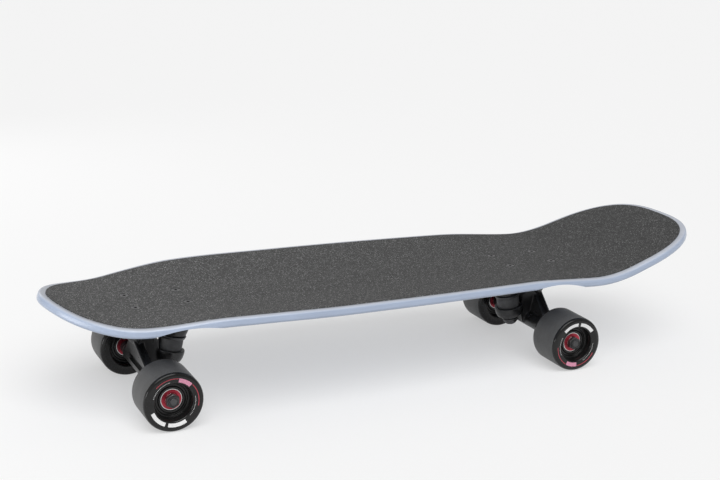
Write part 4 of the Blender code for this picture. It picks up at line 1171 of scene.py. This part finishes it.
# %% Axles and kingpin threads
AXLE_HALF = smooth_profile([
    (0, 100), (3.3, 100, 0.25), (3.75, 99.5, 0.2), (3.75, 92), (4, 91.8), (4, 0),
])
AXLE_PROFILE = AXLE_HALF + [(r, -h) for r, h in reversed(AXLE_HALF[:-1])]
axle_rod = turned(AXLE_PROFILE, 48, AXLE_TURN)
axle_threads = join_shapes([
    thread_shape(3.65 * MM, 7 * MM, AXLE_TURN @ turned_over @ move(z=92.4 * MM))
    for turned_over in (Matrix.Identity(4), turn(180, "X"))
])
king_thread = thread_shape(4.5 * MM, 1.4 * MM, KINGPIN_PLACE @ move(z=-17.6 * MM))
add_to_trucks("axle_rod", axle_rod, BLACK_STEEL, "axle", steers=True)
add_to_trucks("axle_threads", axle_threads, BLACK_STEEL, steers=True)
add_to_trucks("king_thread", king_thread, BLACK_STEEL)

# %% [markdown]
# ## Wheels
# A wheel is poured urethane round a hard core. The tread is ground, the sides are as they came
# from the mould: a rounded lip, a flat band that carries the print, and a recess round the
# bearing. The section is drawn once and turned. Faces of the tread get the ground finish and
# all others the cast one.

# %% Sections of tyre and core
TYRE_SIDE = smooth_profile([
    (16.9, 13.2), (17.5, 13.2, 0.6), (18.1, 17.5, 1.5), (19.3, 20.7, 0.8), (20.2, 21.25, 0.35),
    (25.0, 21.95, 0.9), (27.0, 21.85, 1.0), (29.2, 21.0, 0.9), (30.0, 18.6),
], 5)
TYRE_SECTION = two_sided(TYRE_SIDE + [(30.0 * MM, 6 * MM)])
TREAD_FROM = 29.9 * MM
CORE_SIDE = smooth_profile([
    (11.1, 4.9), (11.1, 12.9, 0.25), (13.1, 12.9, 0.35), (13.5, 11.4, 0.4), (15.6, 11.2, 0.4),
    (16.2, 12.7, 0.3), (16.8, 12.9),
])
CORE_SECTION = two_sided([(8.5 * MM, 4.9 * MM)] + CORE_SIDE)


def face_height(radius):
    """Height of the tyre's printed band at a radius."""
    return (21.25 + (21.95 - 21.25) * (radius / MM - 20.2) / (25.0 - 20.2)) * MM


# %% Sections of bearing, washer and nut
BEARING_OUTER = smooth_profile([(10.1, 0), (10.9, 0, 0.25), (10.9, -7, 0.25), (10.1, -7)])
BEARING_INNER = smooth_profile([(4.3, 0), (5.5, 0, 0.15), (5.5, -7, 0.15), (4.3, -7)])
SHIELD_PROFILE = smooth_profile([
    (5.6, -0.75), (6.3, -0.45, 0.2), (9.1, -0.3, 0.3), (10.1, -0.1), (10.1, -0.9), (5.6, -1.1),
])
WASHER_PROFILE = smooth_profile([(4.3, 1.3), (6.5, 1.3, 0.2), (6.5, 0.3, 0.2), (4.3, 0.3)])


# %% [markdown]
# The print is ink on the flat band. It is a generic design: two white bars, a pink block
# between two thin red arcs, and two rows of short white ticks. Each mark is a thin skin that
# follows the band. The ticks repeat along an arc, so Geometry Nodes lay them out.

# %% Marks of the print
INK_LIFT = 0.03 * MM


def arc_mark(inner, outer, start, sweep, place):
    """A skin of ink between two radii, in millimetres, from an angle and over a sweep, in degrees."""
    shape = bmesh.new()
    steps = max(2, round(sweep / 2.5))
    inner, outer = inner * MM, outer * MM
    section = [(inner, INK_LIFT), (outer, INK_LIFT), (outer, -INK_LIFT), (inner, -INK_LIFT)]
    rings = []
    for step in range(steps + 1):
        a = math.radians(start + sweep * step / steps)
        ring = [Vector((r * math.cos(a), r * math.sin(a), face_height(r) + lift)) for r, lift in section]
        rings.append([shape.verts.new(place @ point) for point in ring])
    return sew(shape, rings, capped=True)


def tick_tree():
    sizes = dict.fromkeys(["Radius", "Height", "Sweep", "Length", "Width"], "Float")
    inputs = {"Count": "Int", **sizes, "Finish": "Material"}
    ticks = Recipe("ticks_on_an_arc", inputs, {"Geometry": "Geometry"})
    add, size = ticks.add, ticks.size
    arc = add("GeometryNodeCurveArc", {"Radius": size["Radius"], "Sweep Angle": size["Sweep"]})
    points = add("GeometryNodeCurveToPoints", {"Curve": arc, "Count": size["Count"]}, output=None)
    box = add("ShaderNodeCombineXYZ", {"X": size["Length"], "Y": size["Width"], "Z": 2 * INK_LIFT})
    tick = add("GeometryNodeMeshCube", {"Size": box})
    inputs = {"Vector": points["Tangent"]}
    angle = add("FunctionNodeAlignRotationToVector", inputs, axis="Y", pivot_axis="Z")
    inputs = {"Points": points["Points"], "Instance": tick, "Rotation": angle}
    copies = add("GeometryNodeInstanceOnPoints", inputs)
    up = add("ShaderNodeCombineXYZ", {"Z": size["Height"]})
    return ticks.painted(add("GeometryNodeTransform", {"Geometry": copies, "Translation": up}))


TICK_TREE = tick_tree()


def tick_shape(radius, start, sweep, count, place):
    """A row of ticks at a radius, in millimetres, from an angle and over a sweep, in degrees."""
    radius = radius * MM
    shape = shaped_by_nodes(TICK_TREE, {
        "Count": count, "Radius": radius, "Height": face_height(radius), "Sweep": math.radians(sweep),
        "Length": 0.9 * MM, "Width": 0.45 * MM, "Finish": WHITE_INK,
    })
    shape.transform(place @ turn(start, "Z"))
    return shape


# %% Build the four wheels
WHEEL_MIDDLE = 80 * MM
BEARING_FACE = 12 * MM
NUT_SEAT = 13.6 * MM
PRINT_TURN = {"front_left": 20, "front_right": 130, "rear_left": 215, "rear_right": 300}


def build_wheel(end, side_name, side):
    name = f"{end}_{side_name}"
    wheel, truck = f"{name}_wheel", f"{end}_truck"
    axle_x = ENDS[end][0]
    centre = move(axle_x, 0, AXLE_HEIGHT) @ turn(-90 * side, "X") @ move(z=WHEEL_MIDDLE)

    tyre = turned(TYRE_SECTION, 128, centre, closed=True)
    for face in tyre.faces:
        offset = face.calc_center_median()
        radius = math.hypot(offset.x - axle_x, offset.z - AXLE_HEIGHT)
        face.material_index = 1 if radius > TREAD_FROM else 0
    add_piece(f"{name}_urethane", tyre, [CAST_URETHANE, GROUND_TREAD], wheel, [f"{name}_tyre"])
    core = turned(CORE_SECTION, 96, centre, closed=True)
    add_piece(f"{name}_hub_core", core, CORE_PLASTIC, wheel, [f"{name}_core"])

    for label, turned_over in (("outer", Matrix.Identity(4)), ("inner", turn(180, "X"))):
        place = centre @ turned_over @ move(z=BEARING_FACE)
        outer = turned(BEARING_OUTER, 64, place, closed=True)
        rings = join_shapes([outer, turned(BEARING_INNER, 48, place, closed=True)])
        shield = turned(SHIELD_PROFILE, 64, place, closed=True)
        washer = turned(WASHER_PROFILE, 48, place, closed=True)
        label = f"{name}_{label}"
        add_piece(f"{label}_races", rings, BRIGHT_STEEL, wheel, [f"{label}_bearing"])
        add_piece(f"{label}_shield", shield, SHIELD_RED, wheel)
        replaced = [f"{label}_washer"]
        add_piece(f"{label}_speed_washer", washer, BRIGHT_STEEL, truck, replaced)

    nut = nut_with_collar(12.7 * MM, 6 * MM, 3.9 * MM, centre @ move(z=NUT_SEAT))
    add_piece(f"{name}_lock_nut", nut, BLACK_STEEL, truck, [f"{name}_axle_nut"])

    face = centre @ turn(PRINT_TURN[name], "Z")
    white = [arc_mark(20.9, 24.6, start, 46, face) for start in (0, 54)]
    for start, sweep, count in ((118, 52, 15), (262, 60, 17)):
        white.append(tick_shape(21.5, start, sweep, count, face))
    pink = [arc_mark(20.7, 24.9, 204, 34, face)]
    red = [arc_mark(24.0, 24.8, start, 56, face) for start in (146, 240)]
    prints = {"white": (white, WHITE_INK), "pink": (pink, PINK_INK), "red": (red, RED_INK)}
    for colour, (marks, ink) in prints.items():
        add_piece(f"{name}_{colour}_print", join_shapes(marks), ink, wheel)


for end in ENDS:
    for side_name, side in (("left", 1), ("right", -1)):
        build_wheel(end, side_name, side)

# %% [markdown]
# ## Studio
# The photographs for a catalogue are taken on a sweep of white paper under large soft lamps. A
# wide plane stands for the paper. More lamps would make it whiter, but would bleach the board
# too. So the paper is a plain grey for the light it throws back, and white, with a share of its
# own glow, for rays from the camera and for glossy and transmitted ones. It comes out pale with a
# soft shadow, and the board is lit as before.

# %% Paper sweep
GLOW_SHARE = 0.45
PAPER_HALF = 12
PAPER_HEIGHT = -0.2 * MM


def paper_finish():
    sheet = Finish("white_paper", (0.93, 0.93, 0.93), 0.9, specular=0.1)
    rays = sheet.add("ShaderNodeLightPath", output=None)
    seen = sheet.do("MAXIMUM", rays["Is Camera Ray"], rays["Is Glossy Ray"])
    seen = sheet.do("MAXIMUM", seen, rays["Is Transmission Ray"])
    fibres = sheet.mottled(sheet.place(), 400, 3, 0.92, 0.94)
    sheet.set("Base Color", sheet.mixed(seen, (0.55, 0.55, 0.55), fibres))
    glow = sheet.add("ShaderNodeEmission", {"Color": (1, 1, 1), "Strength": 1})
    share = sheet.do("MULTIPLY", seen, GLOW_SHARE)
    blend = sheet.add("ShaderNodeMixShader", {0: share, 1: sheet.shader.outputs[0], 2: glow})
    sheet.plug(sheet.tree.nodes["Material Output"].inputs["Surface"], blend)
    return sheet.material


sheet = bmesh.new()
bmesh.ops.create_grid(sheet, x_segments=1, y_segments=1, size=PAPER_HALF)
bmesh.ops.translate(sheet, vec=(0, 0, PAPER_HEIGHT), verts=sheet.verts)
paper = object_of("paper_sweep", sheet)
paper.data.materials.append(paper_finish())
paper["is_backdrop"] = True


# %% [markdown]
# Three lamps and the sky light the board. The silk over the whole ceiling is a far, wide light
# that is the same all over the paper, and its soft shadow falls behind the board. A low bank in
# front of the nose lights its end and the treads, and a weak one behind draws the far edges.

# %% Lamps and world
def add_lamp(name, kind, power, place, **settings):
    lamp = bpy.data.lights.new(name, kind)
    lamp.energy = power
    for key, value in settings.items():
        setattr(lamp, key, value)
    object_of(name, lamp).matrix_world = place


def soft_lamp(name, place, target, width, height, power):
    aim = (Vector(target) - Vector(place)).to_track_quat("-Z", "Y").to_matrix().to_4x4()
    size = {"shape": "RECTANGLE", "size": width, "size_y": height}
    add_lamp(name, "AREA", power, Matrix.Translation(place) @ aim, **size)


lean = Vector((0, 0, 1)).rotation_difference(Vector((0.15, 0.75, 1)).normalized())
add_lamp("ceiling_silk", "SUN", 2.05, lean.to_matrix().to_4x4(), angle=math.radians(54))
soft_lamp("nose_bank", (1.4, 0.2, 0.22), (0.2, 0, 0.05), 0.8, 0.3, 3.5)
soft_lamp("back_bank", (0.6, -1.3, 0.6), (0.3, 0, 0.1), 0.8, 0.5, 1.2)

world = bpy.data.worlds.new("studio")
bpy.context.scene.world = world
world.use_nodes = True
background = world.node_tree.nodes["Background"].inputs
background["Color"].default_value = (1, 1, 1, 1)
background["Strength"].default_value = 0.38

# %% [markdown]
# ## Camera
# The camera stands where the photograph's camera stood. Its place, direction and focal length
# were worked out from the wheels and the edges of the deck, so the board lands on the same
# pixels.

# %% Camera
CAMERA_PLACE = Vector((0.6150, 1.2306, 0.5164))
YAW, PITCH, ROLL = -0.445, 0.2679, 0.0282
ahead = Vector((math.sin(YAW) * math.cos(PITCH), -math.cos(YAW) * math.cos(PITCH), -math.sin(PITCH)))
right = ahead.cross(Vector((0, 0, 1))).normalized()
above = right.cross(ahead)
side = right * math.cos(ROLL) + above * math.sin(ROLL)
up = above * math.cos(ROLL) - right * math.sin(ROLL)
lens = bpy.data.cameras.new("camera")
lens.lens = 66.18
lens.sensor_width = 36
lens.sensor_fit = "HORIZONTAL"
lens.clip_end = 60
camera = object_of("camera", lens)
facing = Matrix((side, up, -ahead)).transposed().to_4x4()
camera.matrix_world = Matrix.Translation(CAMERA_PLACE) @ facing
bpy.context.scene.camera = camera
bpy.context.scene.view_settings.view_transform = "Standard"
print("camera at", [round(v, 3) for v in CAMERA_PLACE])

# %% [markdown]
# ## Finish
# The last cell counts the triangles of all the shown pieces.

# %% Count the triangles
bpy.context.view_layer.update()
total = sum(triangles(piece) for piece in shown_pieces() if piece.type == "MESH")
print("triangles in all:", total)
